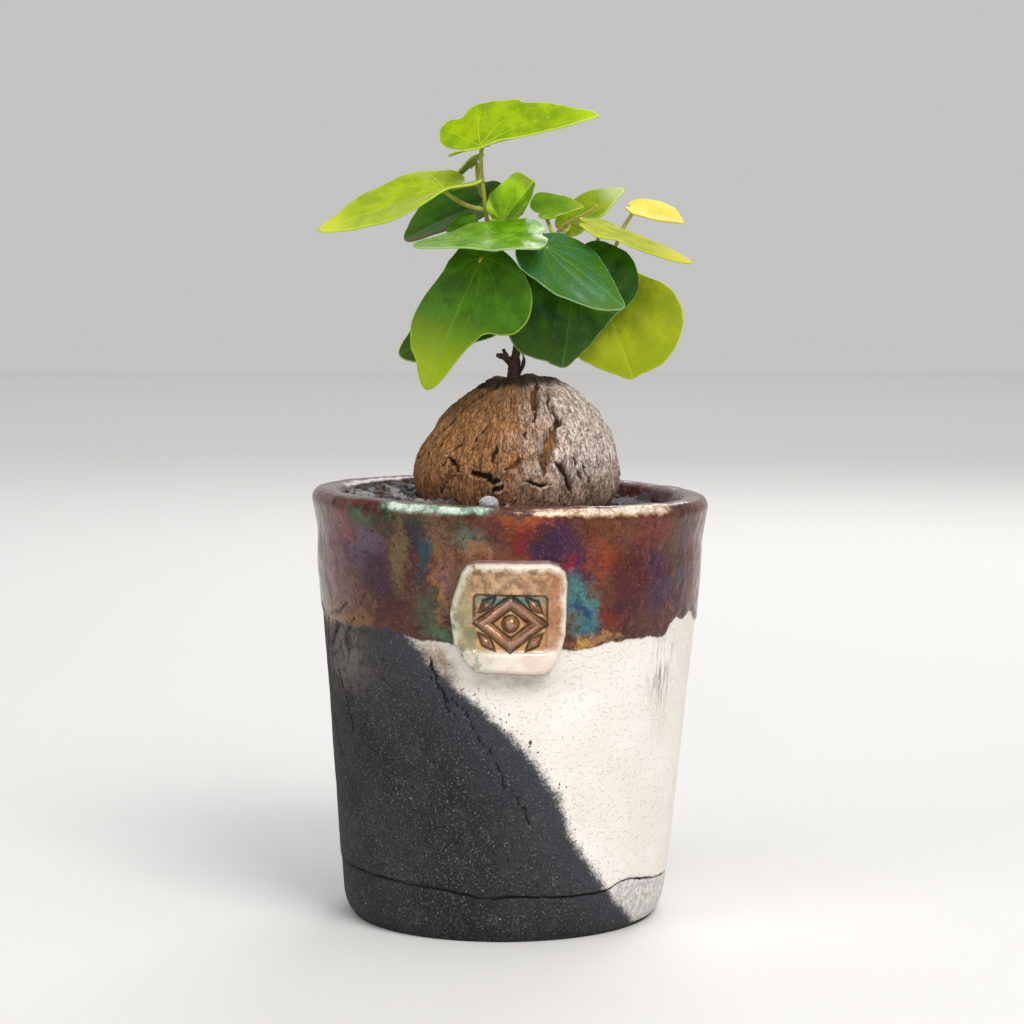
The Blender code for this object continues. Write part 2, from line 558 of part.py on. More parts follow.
# The angles from the midrib, in degrees, at which a leaf's left and right shares are given
OUTLINE_ANGLES = (10, 25, 45, 70, 100, 130, 158)
LEAVES = {
    "leaf_top": Leaf(
        junction=(-6.3, -1.0, 174.3), tip=(20.0, -4.0, 180.9), face=(0.0, -0.36, 0.93),
        tone="lime", arch=3,
        left=(0.81, 0.63, 0.53, 0.46, 0.40, 0.44, 0.34), left_fold=(32, 32),
        right=(0.85, 0.50, 0.38, 0.34, 0.32, 0.33, 0.28), right_fold=(18, 14),
        stem=(-6.0, 0.4, 166.0), stem_radius=0.0, petiole=((-6.4, 0.0, 169.5),),
    ),
    "leaf_left": Leaf(
        junction=(-14.7, -5.0, 164.4), tip=(-42.7, -9.0, 155.2), face=(-0.1, -0.4, 0.9),
        tone="lime", arch=6,
        left=(0.86, 0.64, 0.47, 0.38, 0.34, 0.34, 0.28), left_fold=(22, 1),
        right=(0.80, 0.66, 0.47, 0.40, 0.31, 0.25, 0.20), right_fold=(6, 6),
        stem=(-5.4, 0.8, 160.0), stem_radius=0.55, petiole=((-9.4, -1.6, 160.9), (-12.6, -4.0, 162.6)),
    ),
    "leaf_edge_on": Leaf(
        junction=(-8.2, 7.0, 170.0), tip=(-14.6, 7.6, 165.4), face=(-0.6, 0.1, 0.75),
        tone="green", arch=4, wave=0.1,
        left=(0.85, 0.62, 0.48, 0.42, 0.36, 0.32, 0.26), left_fold=(10, 10),
        right=(0.85, 0.62, 0.48, 0.42, 0.36, 0.32, 0.26), right_fold=(10, 10),
        stem=(-5.7, 0.6, 163.0), stem_radius=0.55, petiole=((-6.4, 3.0, 163.8), (-7.2, 5.6, 166.6)),
    ),
    "leaf_left_back": Leaf(
        junction=(-5.6, 10.0, 162.0), tip=(-24.2, 11.0, 153.4), face=(-0.1, -0.5, 0.85),
        tone="dark",
        left=(0.92, 0.66, 0.47, 0.40, 0.36, 0.34, 0.30), left_fold=(7, 7),
        right=(0.94, 0.85, 0.66, 0.43, 0.35, 0.32, 0.28), right_fold=(8, 8),
        stem=(-4.9, 1.0, 157.0), petiole=((-5.2, 6.0, 159.0),),
    ),
    "leaf_mid_left": Leaf(
        junction=(-0.3, -13.6, 153.9), tip=(-21.3, -16.0, 152.1), face=(0.03, -0.26, 0.96),
        tone="green", arch=4,
        left=(0.95, 0.65, 0.51, 0.48, 0.51, 0.50, 0.42), left_fold=(-1, -1),
        right=(0.81, 0.62, 0.55, 0.49, 0.50, 0.56, 0.44), right_fold=(5, 5),
        stem=(-4.0, 1.4, 152.0), petiole=((-3.2, -4.4, 151.6), (-2.0, -9.4, 152.0)),
    ),
    "leaf_curled": Leaf(
        junction=(-1.5, -2.0, 157.6), tip=(5.4, -4.0, 166.5), face=(0.1, -0.9, 0.3),
        tone="lime", arch=20, wave=0.2,
        left=(0.98, 0.88, 0.70, 0.54, 0.34, 0.20, 0.12), left_fold=(0, 0),
        right=(0.93, 0.70, 0.50, 0.40, 0.32, 0.24, 0.14), right_fold=(-60, -60),
        stem=(-4.9, 1.0, 157.6), petiole=((-3.4, -0.8, 156.8),),
    ),
    "leaf_right_back": Leaf(
        junction=(8.3, 8.0, 159.6), tip=(17.0, 9.4, 160.8), face=(0.0, -0.5, 0.85),
        tone="green", wave=0.2,
        left=(0.90, 0.77, 0.65, 0.61, 0.62, 0.50, 0.30), left_fold=(23, 23),
        right=(0.76, 0.60, 0.50, 0.45, 0.40, 0.32, 0.22), right_fold=(8, 8),
        stem=(10.3, 2.7, 153.2), petiole=((9.4, 6.0, 155.8),),
    ),
    "leaf_far_right": Leaf(
        junction=(14.1, 14.0, 157.2), tip=(26.5, 14.0, 165.0), face=(-0.3, -0.7, 0.6),
        tone="green", wave=0.2,
        left=(0.87, 0.74, 0.62, 0.46, 0.38, 0.32, 0.24), left_fold=(-8, -8),
        right=(0.84, 0.65, 0.49, 0.41, 0.35, 0.29, 0.22), right_fold=(14, 14),
        stem=(11.5, 2.4, 155.8), petiole=((12.4, 6.4, 155.2), (13.4, 10.6, 155.6)),
    ),
    "leaf_right": Leaf(
        junction=(20.4, -4.0, 155.9), tip=(41.0, -5.0, 148.1), face=(0.3, -0.12, 0.95),
        tone="lime", arch=4,
        left=(0.84, 0.57, 0.47, 0.38, 0.34, 0.32, 0.24), left_fold=(6, 6),
        right=(0.88, 0.60, 0.40, 0.33, 0.30, 0.28, 0.22), right_fold=(-9, -9),
        stem=(19.5, 7.5, 149.4), stem_radius=0.5, petiole=((19.8, 4.6, 151.6), (20.2, 0.0, 154.4)),
    ),
    "leaf_yellow": Leaf(
        junction=(28.9, 8.0, 160.5), tip=(39.8, 7.0, 157.1), face=(0.2, -0.45, 0.85),
        tone="yellow", wave=0.15,
        left=(0.91, 0.78, 0.58, 0.38, 0.27, 0.22, 0.18), left_fold=(12, 12),
        right=(0.79, 0.63, 0.49, 0.36, 0.28, 0.24, 0.20), right_fold=(4, 4),
        stem=(25.6, 8.6, 155.4), stem_radius=0.0, petiole=((27.4, 8.4, 158.2),),
    ),
    "leaf_centre": Leaf(
        junction=(7.9, -11.0, 151.8), tip=(25.4, -14.0, 138.2), face=(0.3, -0.8, 0.55),
        tone="green", arch=14,
        left=(0.81, 0.63, 0.50, 0.34, 0.22, 0.18, 0.14), left_fold=(-8, -8),
        right=(0.90, 0.71, 0.57, 0.43, 0.37, 0.30, 0.16), right_fold=(-2, -2),
        stem=(9.0, 3.0, 150.0), stem_radius=0.65, petiole=((6.8, -1.6, 151.4), (6.8, -7.0, 151.4)),
    ),
    "leaf_big_dark": Leaf(
        junction=(15.0, -2.0, 147.9), tip=(11.9, -5.0, 124.5), face=(0.15, -0.95, 0.25),
        tone="dark", arch=14,
        left=(0.86, 0.70, 0.62, 0.64, 0.55, 0.38, 0.24), left_fold=(3, 3),
        right=(0.98, 1.00, 0.86, 0.58, 0.32, 0.22, 0.18), right_fold=(-2, -2),
        stem=(7.6, 3.4, 145.6), stem_radius=0.65, petiole=((11.4, 1.4, 146.4),),
    ),
    "leaf_lower_right": Leaf(
        junction=(21.6, 6.0, 140.3), tip=(28.2, 3.0, 121.7), face=(-0.1, -0.95, 0.3),
        tone="lime", arch=12,
        left=(0.98, 1.02, 0.98, 0.84, 0.52, 0.40, 0.28), left_fold=(-4, -4),
        right=(0.92, 0.82, 0.75, 0.64, 0.48, 0.38, 0.28), right_fold=(12, 12),
        stem=(5.8, 3.1, 140.6), stem_radius=0.65, petiole=((11.0, 6.6, 140.8), (17.0, 7.6, 141.2)),
    ),
    "leaf_big_left": Leaf(
        junction=(-6.1, -9.6, 149.3), tip=(-18.5, -14.0, 120.0), face=(-0.15, -0.9, 0.4),
        tone="green", arch=16,
        left=(0.76, 0.56, 0.60, 0.48, 0.25, 0.16, 0.11), left_fold=(-1, -1),
        right=(0.86, 0.69, 0.34, 0.23, 0.19, 0.15, 0.11), right_fold=(-9, -9),
        stem=(-2.4, 2.0, 147.5), stem_radius=0.65, petiole=((-3.6, -3.8, 147.6),), wave=0.5,
    ),
    "leaf_left_hidden": Leaf(
        junction=(-5.4, 7.0, 139.6), tip=(-25.3, 6.0, 126.9), face=(-0.2, -0.9, 0.3),
        tone="dark",
        left=(0.90, 0.57, 0.45, 0.39, 0.34, 0.31, 0.26), left_fold=(3, 3),
        right=(0.83, 0.59, 0.42, 0.34, 0.30, 0.28, 0.25), right_fold=(-8, -8),
        stem=(1.2, 2.2, 141.0), stem_radius=0.7, petiole=((-2.4, 5.4, 140.4),),
    ),
    "leaf_inner": Leaf(
        junction=(-8.8, -0.6, 157.6), tip=(-14.2, -1.8, 154.9), face=(-0.1, -0.8, 0.6),
        tone="green", wave=0.1,
        left=(0.85, 0.66, 0.50, 0.42, 0.36, 0.32, 0.26), left_fold=(6, 6),
        right=(0.85, 0.66, 0.50, 0.42, 0.36, 0.32, 0.26), right_fold=(6, 6),
        stem=(-4.4, 1.2, 154.0), petiole=((-6.8, 0.2, 154.6), (-8.0, -0.2, 155.9)),
    ),
}


def edge_radius(leaf, angle):
    """How far the margin lies from the junction, as a share of the leaf's length, at an angle in degrees."""
    half = leaf.left if angle > 0 else leaf.right
    return between(((0, 1.0), *zip(OUTLINE_ANGLES, half), (180, SINUS_SHARE)), abs(angle))


def bent(point, leaf):
    """Where a point of the flat blade lies once its halves are folded and its midrib arched."""
    x, y, _ = point
    base, end = leaf.left_fold if y > 0 else leaf.right_fold
    fold = math.radians(base + (end - base) * smoothstep(0.0, 0.6 * leaf.length, x))
    out = abs(y)
    height = out * math.sin(fold)
    out *= math.cos(fold)
    angle = math.atan2(y, x)
    share = math.hypot(x, y) / (leaf.length * edge_radius(leaf, math.degrees(angle)))
    height += leaf.wave * share**2 * math.sin(leaf.waves * angle) * abs(math.sin(angle))
    arch = math.radians(leaf.arch) / leaf.length
    spine = Vector((math.sin(arch * x) / arch, 0, -(1 - math.cos(arch * x)) / arch))
    normal = Vector((math.sin(arch * x), 0, math.cos(arch * x)))
    return spine + Vector((0, math.copysign(out, y), 0)) + normal * height


def leaf_blade(leaf):
    """The blade's middle surface in its own axes, x along the midrib and z up, and where its tip is."""
    bm = bmesh.new()
    angles = [-a for a in reversed(SPOKE_ANGLES[1:])] + list(SPOKE_ANGLES) + [180]
    shares = RING_SHARES if leaf.length > SMALL_LEAF else SMALL_RING_SHARES
    centre = bm.verts.new((0, 0, 0))
    spokes = []
    for angle in angles:
        reach = leaf.length * edge_radius(leaf, angle)
        turn = math.radians(angle)
        end = Vector((reach * math.cos(turn), reach * math.sin(turn), 0))
        spokes.append([bm.verts.new(end * share) for share in shares])
    for one, two in zip(spokes, spokes[1:] + spokes[:1]):
        bm.faces.new((centre, one[0], two[0]))
        for k in range(len(shares) - 1):
            bm.faces.new((one[k], one[k + 1], two[k + 1], two[k]))
    bmesh.ops.triangulate(bm, faces=bm.faces)
    for vertex in bm.verts:
        vertex.co = bent(vertex.co, leaf)
    tip = spokes[angles.index(0)][-1].co.copy()
    return bm, tip


def leaf_frame(leaf, tip):
    """The transform that takes the blade's junction and tip to their places, upper side towards its face."""
    start, end = Vector(leaf.junction), Vector(leaf.tip)
    across = end - start
    scale = across.length / tip.length
    local_x = tip.normalized()
    local_y = Vector((0, 1, 0))
    local_z = local_x.cross(local_y).normalized()
    world_x = across.normalized()
    face = Vector(leaf.face)
    world_z = (face - world_x * face.dot(world_x)).normalized()
    world_y = world_z.cross(world_x)
    local = Matrix((local_x, local_y, local_z))
    world = Matrix((world_x, world_y, world_z)).transposed()
    return Matrix.Translation(start) @ (world @ local).to_4x4() @ Matrix.Scale(scale, 4)


def petiole_route(leaf, frame):
    """From beside the stem to a little way along the underside of the blade's midrib."""
    joint = Vector(leaf.stem)
    bends = [Vector(p) for p in leaf.petiole]
    start = joint + (bends[0] - joint).normalized() * (leaf.stem_radius + STEM_GAP)
    down = -(frame.to_3x3() @ Vector((0, 0, 1))).normalized()
    neck = Vector(leaf.junction) + down * PETIOLE_SINK[0]
    root = frame @ bent(Vector((PETIOLE_RUN, 0, 0)), leaf) + down * PETIOLE_SINK[1]
    return smooth_route([(*p, PETIOLE_RADIUS) for p in (start, *bends, neck, root)])


def make_leaf(name, leaf, group, finishes):
    bm, tip = leaf_blade(leaf)
    frame = leaf_frame(leaf, tip)
    bmesh.ops.transform(bm, matrix=frame, verts=bm.verts)
    blade = add_object(name, mesh_from(bm, name), group)
    wall = blade.modifiers.new("Thickness", "SOLIDIFY")
    wall.thickness = BLADE_THICKNESS * MM
    wall.offset = 0.0
    apply_modifiers(blade)
    stalks = collection(name + "_stalk")
    tube(name + "_petiole", petiole_route(leaf, frame), stalks, sides=6)
    boolean(blade, "UNION", group=stalks)
    apply_modifiers(blade)
    remove_all(stalks)
    blade.data.shade_smooth()
    blade.data.set_sharp_from_angle(angle=math.radians(50))
    blade.data.materials.append(finishes[leaf.tone])


def main():
    clear_scene()
    plant = collection("potted_elephants_foot")
    cutters = collection("cutters")
    make_pot(plant, cutters)
    make_substrate(plant, cutters)
    make_caudex(plant, cutters)
    make_vine(plant)
    finishes = {
        "lime": material("lime_leaf", (0.25, 0.5, 0.03), 0.45),
        "green": material("green_leaf", (0.06, 0.25, 0.03), 0.4),
        "dark": material("dark_leaf", (0.03, 0.12, 0.03), 0.4),
        "yellow": material("yellow_leaf", (0.6, 0.6, 0.1), 0.45),
    }
    for name, leaf in LEAVES.items():
        make_leaf(name, leaf, plant, finishes)
    for obj in list(cutters.objects):
        bpy.data.objects.remove(obj)


if __name__ == "__main__":
    main()
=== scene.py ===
"""The looks of a young elephant's foot plant in a hand-made raku pot.

Each class holds the sizes of one piece, builds its mesh and dresses it. Lengths are in millimetres and become
metres when a mesh is finished. The pot's medallion faces -Y, +X is to the right of it and +Z is up. Places on the
wall are given by their azimuth, in degrees from the medallion towards the right, and their height.
"""

import logging
import math
import random
from collections.abc import Callable, Sequence
from dataclasses import dataclass, field
from enum import Enum
from functools import cached_property

import bmesh
import bpy
import numpy as np
from mathutils import Matrix, Vector, noise


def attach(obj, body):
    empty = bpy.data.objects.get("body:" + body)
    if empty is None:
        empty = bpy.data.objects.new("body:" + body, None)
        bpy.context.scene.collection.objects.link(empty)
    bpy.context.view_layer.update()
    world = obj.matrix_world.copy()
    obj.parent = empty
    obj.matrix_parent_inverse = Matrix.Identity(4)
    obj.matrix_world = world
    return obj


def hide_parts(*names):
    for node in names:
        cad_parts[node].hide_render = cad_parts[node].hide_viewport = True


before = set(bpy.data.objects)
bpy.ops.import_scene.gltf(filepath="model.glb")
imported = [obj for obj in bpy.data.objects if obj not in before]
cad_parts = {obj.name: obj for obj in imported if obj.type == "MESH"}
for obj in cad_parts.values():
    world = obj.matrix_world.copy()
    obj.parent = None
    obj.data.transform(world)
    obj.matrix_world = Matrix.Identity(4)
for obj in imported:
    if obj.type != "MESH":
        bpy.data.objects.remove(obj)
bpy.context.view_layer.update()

MM = 0.001
log = logging.getLogger("potted_plant")

Point = tuple[float, ...]
Socket = bpy.types.NodeSocket


class Slot(Enum):
    """The record's material slots."""

    CLAY = "raku_clay"
    GRIT = "black_grit"
    BARK = "corky_bark"
    STEM = "dry_stem"
    LIME = "lime_leaf"
    GREEN = "green_leaf"
    DARK = "dark_leaf"
    YELLOW = "yellow_leaf"


# Small tools


def linear(colour: str) -> Point:
    """Turn an sRGB hex colour into linear RGBA.

    Args:
        colour: The colour as "#rrggbb".

    Returns:
        Its linear red, green, blue and alpha.
    """
    channels = (int(colour[i : i + 2], 16) / 255 for i in (1, 3, 5))
    return (*(c / 12.92 if c <= 0.04045 else ((c + 0.055) / 1.055) ** 2.4 for c in channels), 1.0)


def smoothstep(low: float, high: float, value: np.ndarray) -> np.ndarray:
    """Rise smoothly from 0 at low to 1 at high."""
    share = np.clip((value - low) / (high - low), 0.0, 1.0)
    return share * share * (3 - 2 * share)


def noise_at(points: np.ndarray, size: float | Point, seed: float = 0.0, octaves: int = 1) -> np.ndarray:
    """Smooth noise at each point.

    Args:
        points: Rows of (x, y, z).
        size: The size of the noise's features, in the points' unit, or one size for each axis.
        seed: Moves the noise, for a different pattern.
        octaves: How many times finer and weaker noise is added.

    Returns:
        One value for each point, about -1 to 1.
    """
    total = np.zeros(len(points))
    for k in range(octaves):
        scaled = points / np.asarray(size) * 2.03**k + seed
        total += 0.5**k * np.fromiter((noise.noise(p) for p in scaled.tolist()), float, len(points))
    return total


def curve_through(points: Sequence[Point], pieces: int) -> list[Point]:
    """More rows of values on a smooth curve through the given ones.

    Args:
        points: Rows of values of one length.
        pieces: How many parts each stretch between two rows is cut into.

    Returns:
        The rows of the curve.
    """
    rows = [points[0], *points, points[-1]]
    found = []
    for p0, p1, p2, p3 in zip(rows, rows[1:], rows[2:], rows[3:]):
        for k in range(pieces):
            t = k / pieces
            weights = (
                -0.5 * t + t**2 - 0.5 * t**3,
                1 - 2.5 * t**2 + 1.5 * t**3,
                0.5 * t + 2 * t**2 - 1.5 * t**3,
                0.5 * (t**3 - t**2),
            )
            found.append(tuple(sum(w * v for w, v in zip(weights, column)) for column in zip(p0, p1, p2, p3)))
    return [*found, tuple(points[-1])]


def route_distance(points: np.ndarray, route: np.ndarray) -> np.ndarray:
    """The distance from each point to a route of straight stretches."""
    nearest = np.full(len(points), np.inf)
    for start, end in zip(route, route[1:]):
        along = end - start
        share = np.clip((points - start) @ along / max(along @ along, 1e-9), 0.0, 1.0)
        nearest = np.minimum(nearest, np.linalg.norm(points - start - share[:, None] * along, axis=1))
    return nearest


def inside_distance(points: np.ndarray, outline: Sequence[Point]) -> np.ndarray:
    """How far each (x, z) point lies inside a closed outline, negative outside it."""
    corners = np.array([*outline, outline[0]])
    distance = route_distance(points, corners)
    inside = np.zeros(len(points), bool)
    for (x0, z0), (x1, z1) in zip(corners, corners[1:]):
        crosses = (z0 > points[:, 1]) != (z1 > points[:, 1])
        inside ^= crosses & (points[:, 0] < (x1 - x0) * (points[:, 1] - z0) / (z1 - z0 + 1e-12) + x0)
    return np.where(inside, distance, -distance)


class Skin:
    """A mesh whose points are moved and marked all at once, in millimetres."""

    def __init__(self, name: str, bm: bmesh.types.BMesh) -> None:
        """Take over a bmesh in millimetres.

        Args:
            name: The name of the mesh, and of the piece later.
            bm: The shape, which is freed.
        """
        self.name = name
        self.mesh = bpy.data.meshes.new(name)
        bm.to_mesh(self.mesh)
        bm.free()

    @classmethod
    def sheet(cls, name: str, across: int, along: int) -> tuple["Skin", np.ndarray, np.ndarray]:
        """A grid to be wrapped into a shape.

        Args:
            name: The name of the mesh.
            across: How many faces it has across.
            along: How many faces it has along.

        Returns:
            The skin, and how far across and along it each of its points lies, from 0 to 1.
        """
        bm = bmesh.new()
        bmesh.ops.create_grid(bm, x_segments=across, y_segments=along, size=0.5)
        skin = cls(name, bm)
        u, v, _ = skin.points.T
        return skin, u + 0.5, v + 0.5

    def weld(self, closed: bool = True) -> None:
        """Join the points that a wrapped sheet brings together.

        Args:
            closed: Whether the shape is closed, so that its faces turn outwards; an open one is turned over.
        """
        bm = bmesh.new()
        bm.from_mesh(self.mesh)
        bmesh.ops.remove_doubles(bm, verts=bm.verts, dist=0.0005)
        bmesh.ops.dissolve_degenerate(bm, edges=bm.edges, dist=0.0005)
        if closed:
            bmesh.ops.recalc_face_normals(bm, faces=bm.faces)
        else:
            bmesh.ops.reverse_faces(bm, faces=bm.faces)
        bm.to_mesh(self.mesh)
        bm.free()

    @property
    def points(self) -> np.ndarray:
        """The points as rows of (x, y, z)."""
        flat = np.empty(len(self.mesh.vertices) * 3)
        self.mesh.vertices.foreach_get("co", flat)
        return flat.reshape(-1, 3)

    @points.setter
    def points(self, places: np.ndarray) -> None:
        """Move the points to new places."""
        self.mesh.vertices.foreach_set("co", places.ravel())
        self.mesh.update()

    @property
    def normals(self) -> np.ndarray:
        """The smooth normals at the points."""
        flat = np.empty(len(self.mesh.vertices) * 3)
        self.mesh.vertices.foreach_get("normal", flat)
        return flat.reshape(-1, 3)

    def mark(self, name: str, values: np.ndarray) -> None:
        """Keep one value, or one row of (x, y, z), for each point, for the materials."""
        kind, key = ("FLOAT", "value") if values.ndim == 1 else ("FLOAT_VECTOR", "vector")
        layer = self.mesh.attributes.get(name) or self.mesh.attributes.new(name, kind, "POINT")
        layer.data.foreach_set(key, values.astype(np.float32).ravel())

    def spread(self, name: str, places: np.ndarray) -> None:
        """Keep a UV place, in rows of (u, v), for each corner of each face."""
        layer = self.mesh.uv_layers.new(name=name)
        layer.data.foreach_set("uv", places.astype(np.float32).ravel())

    def corner_points(self) -> np.ndarray:
        """The index of the point at each corner of each face."""
        found = np.empty(len(self.mesh.loops), np.int64)
        self.mesh.loops.foreach_get("vertex_index", found)
        return found

    def piece(self, nodes: Sequence[str], slot: Slot, finish: "Finish", crease: float = 180.0) -> bpy.types.Object:
        """Finish the mesh as a piece of the object.

        Args:
            nodes: The CAD nodes that it stands for.
            slot: The record's material slot; not used.
            finish: What it is made of.
            crease: The angle in degrees past which an edge stays sharp.

        Returns:
            The object, riding on the root.
        """
        self.mesh.transform(Matrix.Scale(MM, 4))
        self.mesh.shade_smooth()
        if crease < 180.0:
            self.mesh.set_sharp_from_angle(angle=math.radians(crease))
        self.mesh.materials.append(finish.material)
        obj = bpy.data.objects.new(self.name, self.mesh)
        bpy.context.scene.collection.objects.link(obj)
        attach(obj, "root")
        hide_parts(*nodes)
        log.info("%s: %d faces", self.name, len(self.mesh.polygons))
        return obj


# Finishes


@dataclass(frozen=True)
class Finish:
    """What a piece is made of. Each kind draws its own nodes."""

    name: str

    @cached_property
    def material(self) -> bpy.types.Material:
        """The Blender material, made once."""
        made = bpy.data.materials.new(self.name)
        made.use_nodes = True
        tree = made.node_tree
        tree.nodes.clear()
        shader = tree.nodes.new("ShaderNodeBsdfPrincipled")
        output = tree.nodes.new("ShaderNodeOutputMaterial")
        tree.links.new(shader.outputs[0], output.inputs[0])
        self.draw(tree, shader)
        return made

    def draw(self, tree: bpy.types.NodeTree, shader: bpy.types.Node) -> None:
        """Add the finish's nodes and link them to the shader."""
        raise NotImplementedError


def add_node(
    tree: bpy.types.NodeTree,
    kind: str,
    links: dict[str | int, object] | None = None,
    stops: Sequence[tuple[float, str]] = (),
    **settings: object,
) -> bpy.types.Node:
    """Add a node with its settings and what goes into it.

    Args:
        tree: The material's nodes.
        kind: The node's type without its ShaderNode prefix.
        links: A socket of another node, or a constant, for each input by name or number.
        stops: The places and hex colours of a colour ramp.
        settings: The node's own properties.

    Returns:
        The node.
    """
    made = tree.nodes.new("ShaderNode" + kind)
    for name, value in settings.items():
        setattr(made, name, value)
    for key, value in (links or {}).items():
        if isinstance(value, Socket):
            tree.links.new(value, made.inputs[key])
        else:
            made.inputs[key].default_value = linear(value) if isinstance(value, str) else value
    for i, (place, colour) in enumerate(stops):
        elements = made.color_ramp.elements
        stop = elements[i] if i < len(elements) else elements.new(place)
        stop.position = place
        stop.color = linear(colour)
    return made


def grain(tree: bpy.types.NodeTree, where: Socket, size: float, stretch: Point = (1, 1, 1), **more: float) -> Socket:
    """Noise whose features are about size millimetres across, from 0 to 1.

    Args:
        tree: The material's nodes.
        where: The coordinates, in metres.
        size: The features' size in millimetres.
        stretch: How many times longer the features are along each axis.
        more: The noise's Detail, Roughness or Distortion.

    Returns:
        The noise's value.
    """
    scale = tuple(1 / (size * MM * s) for s in stretch)
    place = add_node(tree, "Mapping", {"Vector": where, "Scale": scale})
    found = {"Vector": place.outputs[0], "Scale": 1.0, "Detail": 3.0} | more
    return add_node(tree, "TexNoise", found).outputs[0]


def step(tree: bpy.types.NodeTree, value: Socket, low: float, high: float, to: Point = (0.0, 1.0)) -> Socket:
    """A smooth step from to[0], where value is low, to to[1], where it is high."""
    links = {"Value": value, "From Min": low, "From Max": high, "To Min": to[0], "To Max": to[1]}
    return add_node(tree, "MapRange", links, interpolation_type="SMOOTHSTEP").outputs[0]


def combine(tree: bpy.types.NodeTree, operation: str, *values: object) -> Socket:
    """One Math node of the values."""
    return add_node(tree, "Math", dict(enumerate(values)), operation=operation).outputs[0]


def blend(tree: bpy.types.NodeTree, share: object, below: object, above: object, mode: str = "MIX") -> Socket:
    """The colour above laid over the colour below by share."""
    links = {0: share, 6: below, 7: above}
    return add_node(tree, "Mix", links, data_type="RGBA", blend_type=mode).outputs[2]


def marked(tree: bpy.types.NodeTree, name: str, output: str = "Fac") -> Socket:
    """The values, or with output "Vector" the rows, that a skin keeps under a name."""
    return add_node(tree, "Attribute", attribute_name=name).outputs[output]


def ridged(tree: bpy.types.NodeTree, pattern: Socket, width: float, share: float = 1.0) -> Socket:
    """Thin winding lines where a noise passes its middle value: share on the line, 0 past width from it."""
    away = combine(tree, "ABSOLUTE", combine(tree, "SUBTRACT", pattern, 0.5))
    return step(tree, away, width, 0.0, (0.0, share))


@dataclass(frozen=True)
class Wash:
    """A soft patch of glaze colour, at an azimuth and height on the wall, with its half width and half height."""

    azimuth: float
    height: float
    across: float
    along: float
    colour: str
    strength: float = 1.0
    turn: float = 0.0


# The lustre glaze's colours, from the far left to the far right of the front
WASHES = (
    Wash(-66, 84, 9, 14, "#7c6e74"),
    Wash(-52, 90, 6, 5, "#7e4a52"),
    Wash(-45, 86, 7, 7, "#5d5c74"),
    Wash(-62, 76, 10, 7, "#746468"),
    Wash(-66, 69, 10, 4, "#8a755c"),
    Wash(-40, 79, 6, 6, "#3c2e46"),
    Wash(-47, 92.5, 5, 2.2, "#3f6a4c"),
    Wash(-37, 92.5, 5, 2.6, "#2c4029"),
    Wash(-25, 92.4, 10, 1.7, "#2f5640", 0.95),
    Wash(-33, 85, 2.6, 10, "#6f7048", 0.85),
    Wash(-40, 73, 9, 4, "#44262a", turn=-35),
    Wash(-50, 70, 8, 3.0, "#86683e", 0.85, -30),
    Wash(-27, 89, 3, 5, "#2a2740"),
    Wash(-25, 84.5, 2.2, 5, "#17505f"),
    Wash(-24, 73, 4, 7, "#3f5a44"),
    Wash(-20, 89, 3.4, 6, "#7a6448"),
    Wash(-20, 77, 1.3, 7, "#a8824c", 0.6),
    Wash(-17, 80, 2, 6, "#8a7270", 0.7),
    Wash(-20, 68, 4, 2.4, "#42765a"),
    Wash(-11, 90, 4, 3, "#4f7d70"),
    Wash(-4, 92, 6, 3.4, "#60362c"),
    Wash(-12, 80, 4, 8, "#7a6850", 0.8),
    Wash(0, 86, 12, 2.0, "#7c5430", 0.8),
    Wash(-10, 87, 4, 2.0, "#a58a64", 0.6),
    Wash(2, 93, 4, 1.8, "#a05a1c", 0.7),
    Wash(10, 94, 6, 1.6, "#b0641f", 0.8),
    Wash(5, 90, 4, 3.6, "#7c1d10"),
    Wash(11, 88, 5, 5, "#2b1647"),
    Wash(14.5, 92, 4, 3, "#3c1b50"),
    Wash(19, 85, 4, 7, "#471f58", turn=-20),
    Wash(17, 84, 2, 3, "#8a1e40"),
    Wash(21, 76, 4.2, 6.5, "#3f9ca4", turn=-18),
    Wash(21, 74.5, 2, 2, "#1b3b80"),
    Wash(25, 70.5, 3, 2, "#1e8aa6", turn=-30),
    Wash(28, 85, 5, 7, "#8e4a26"),
    Wash(31, 73, 5, 4, "#742e1c"),
    Wash(43, 91, 9, 5, "#783838"),
    Wash(30, 92, 9, 3, "#6e4a24"),
    Wash(47, 83, 5, 4, "#3c2858"),
    Wash(50, 77, 5, 5, "#48285c"),
    Wash(38, 81, 7, 8, "#561e24"),
    Wash(64, 80, 5, 16, "#582c34"),
    Wash(75, 86, 6, 14, "#743c3a"),
    Wash(60, 82, 2.4, 11, "#34303f"),
    Wash(36, 76, 5, 4, "#4a2338"),
    Wash(45, 69, 8, 2.4, "#5d453f"),
    Wash(28, 67.5, 9, 1.6, "#b89c68", 0.8),
    Wash(22, 67, 3, 1.4, "#cdb85c", 0.8),
    Wash(110, 84, 14, 12, "#5b3a4c"),
    Wash(135, 78, 12, 14, "#7c4a30"),
    Wash(160, 86, 12, 10, "#37566a"),
    Wash(-170, 80, 14, 12, "#6b4a3a"),
    Wash(-145, 86, 12, 9, "#3f4c46"),
    Wash(-120, 78, 12, 12, "#6a4250"),
    Wash(-98, 86, 9, 9, "#7a684e"),
)


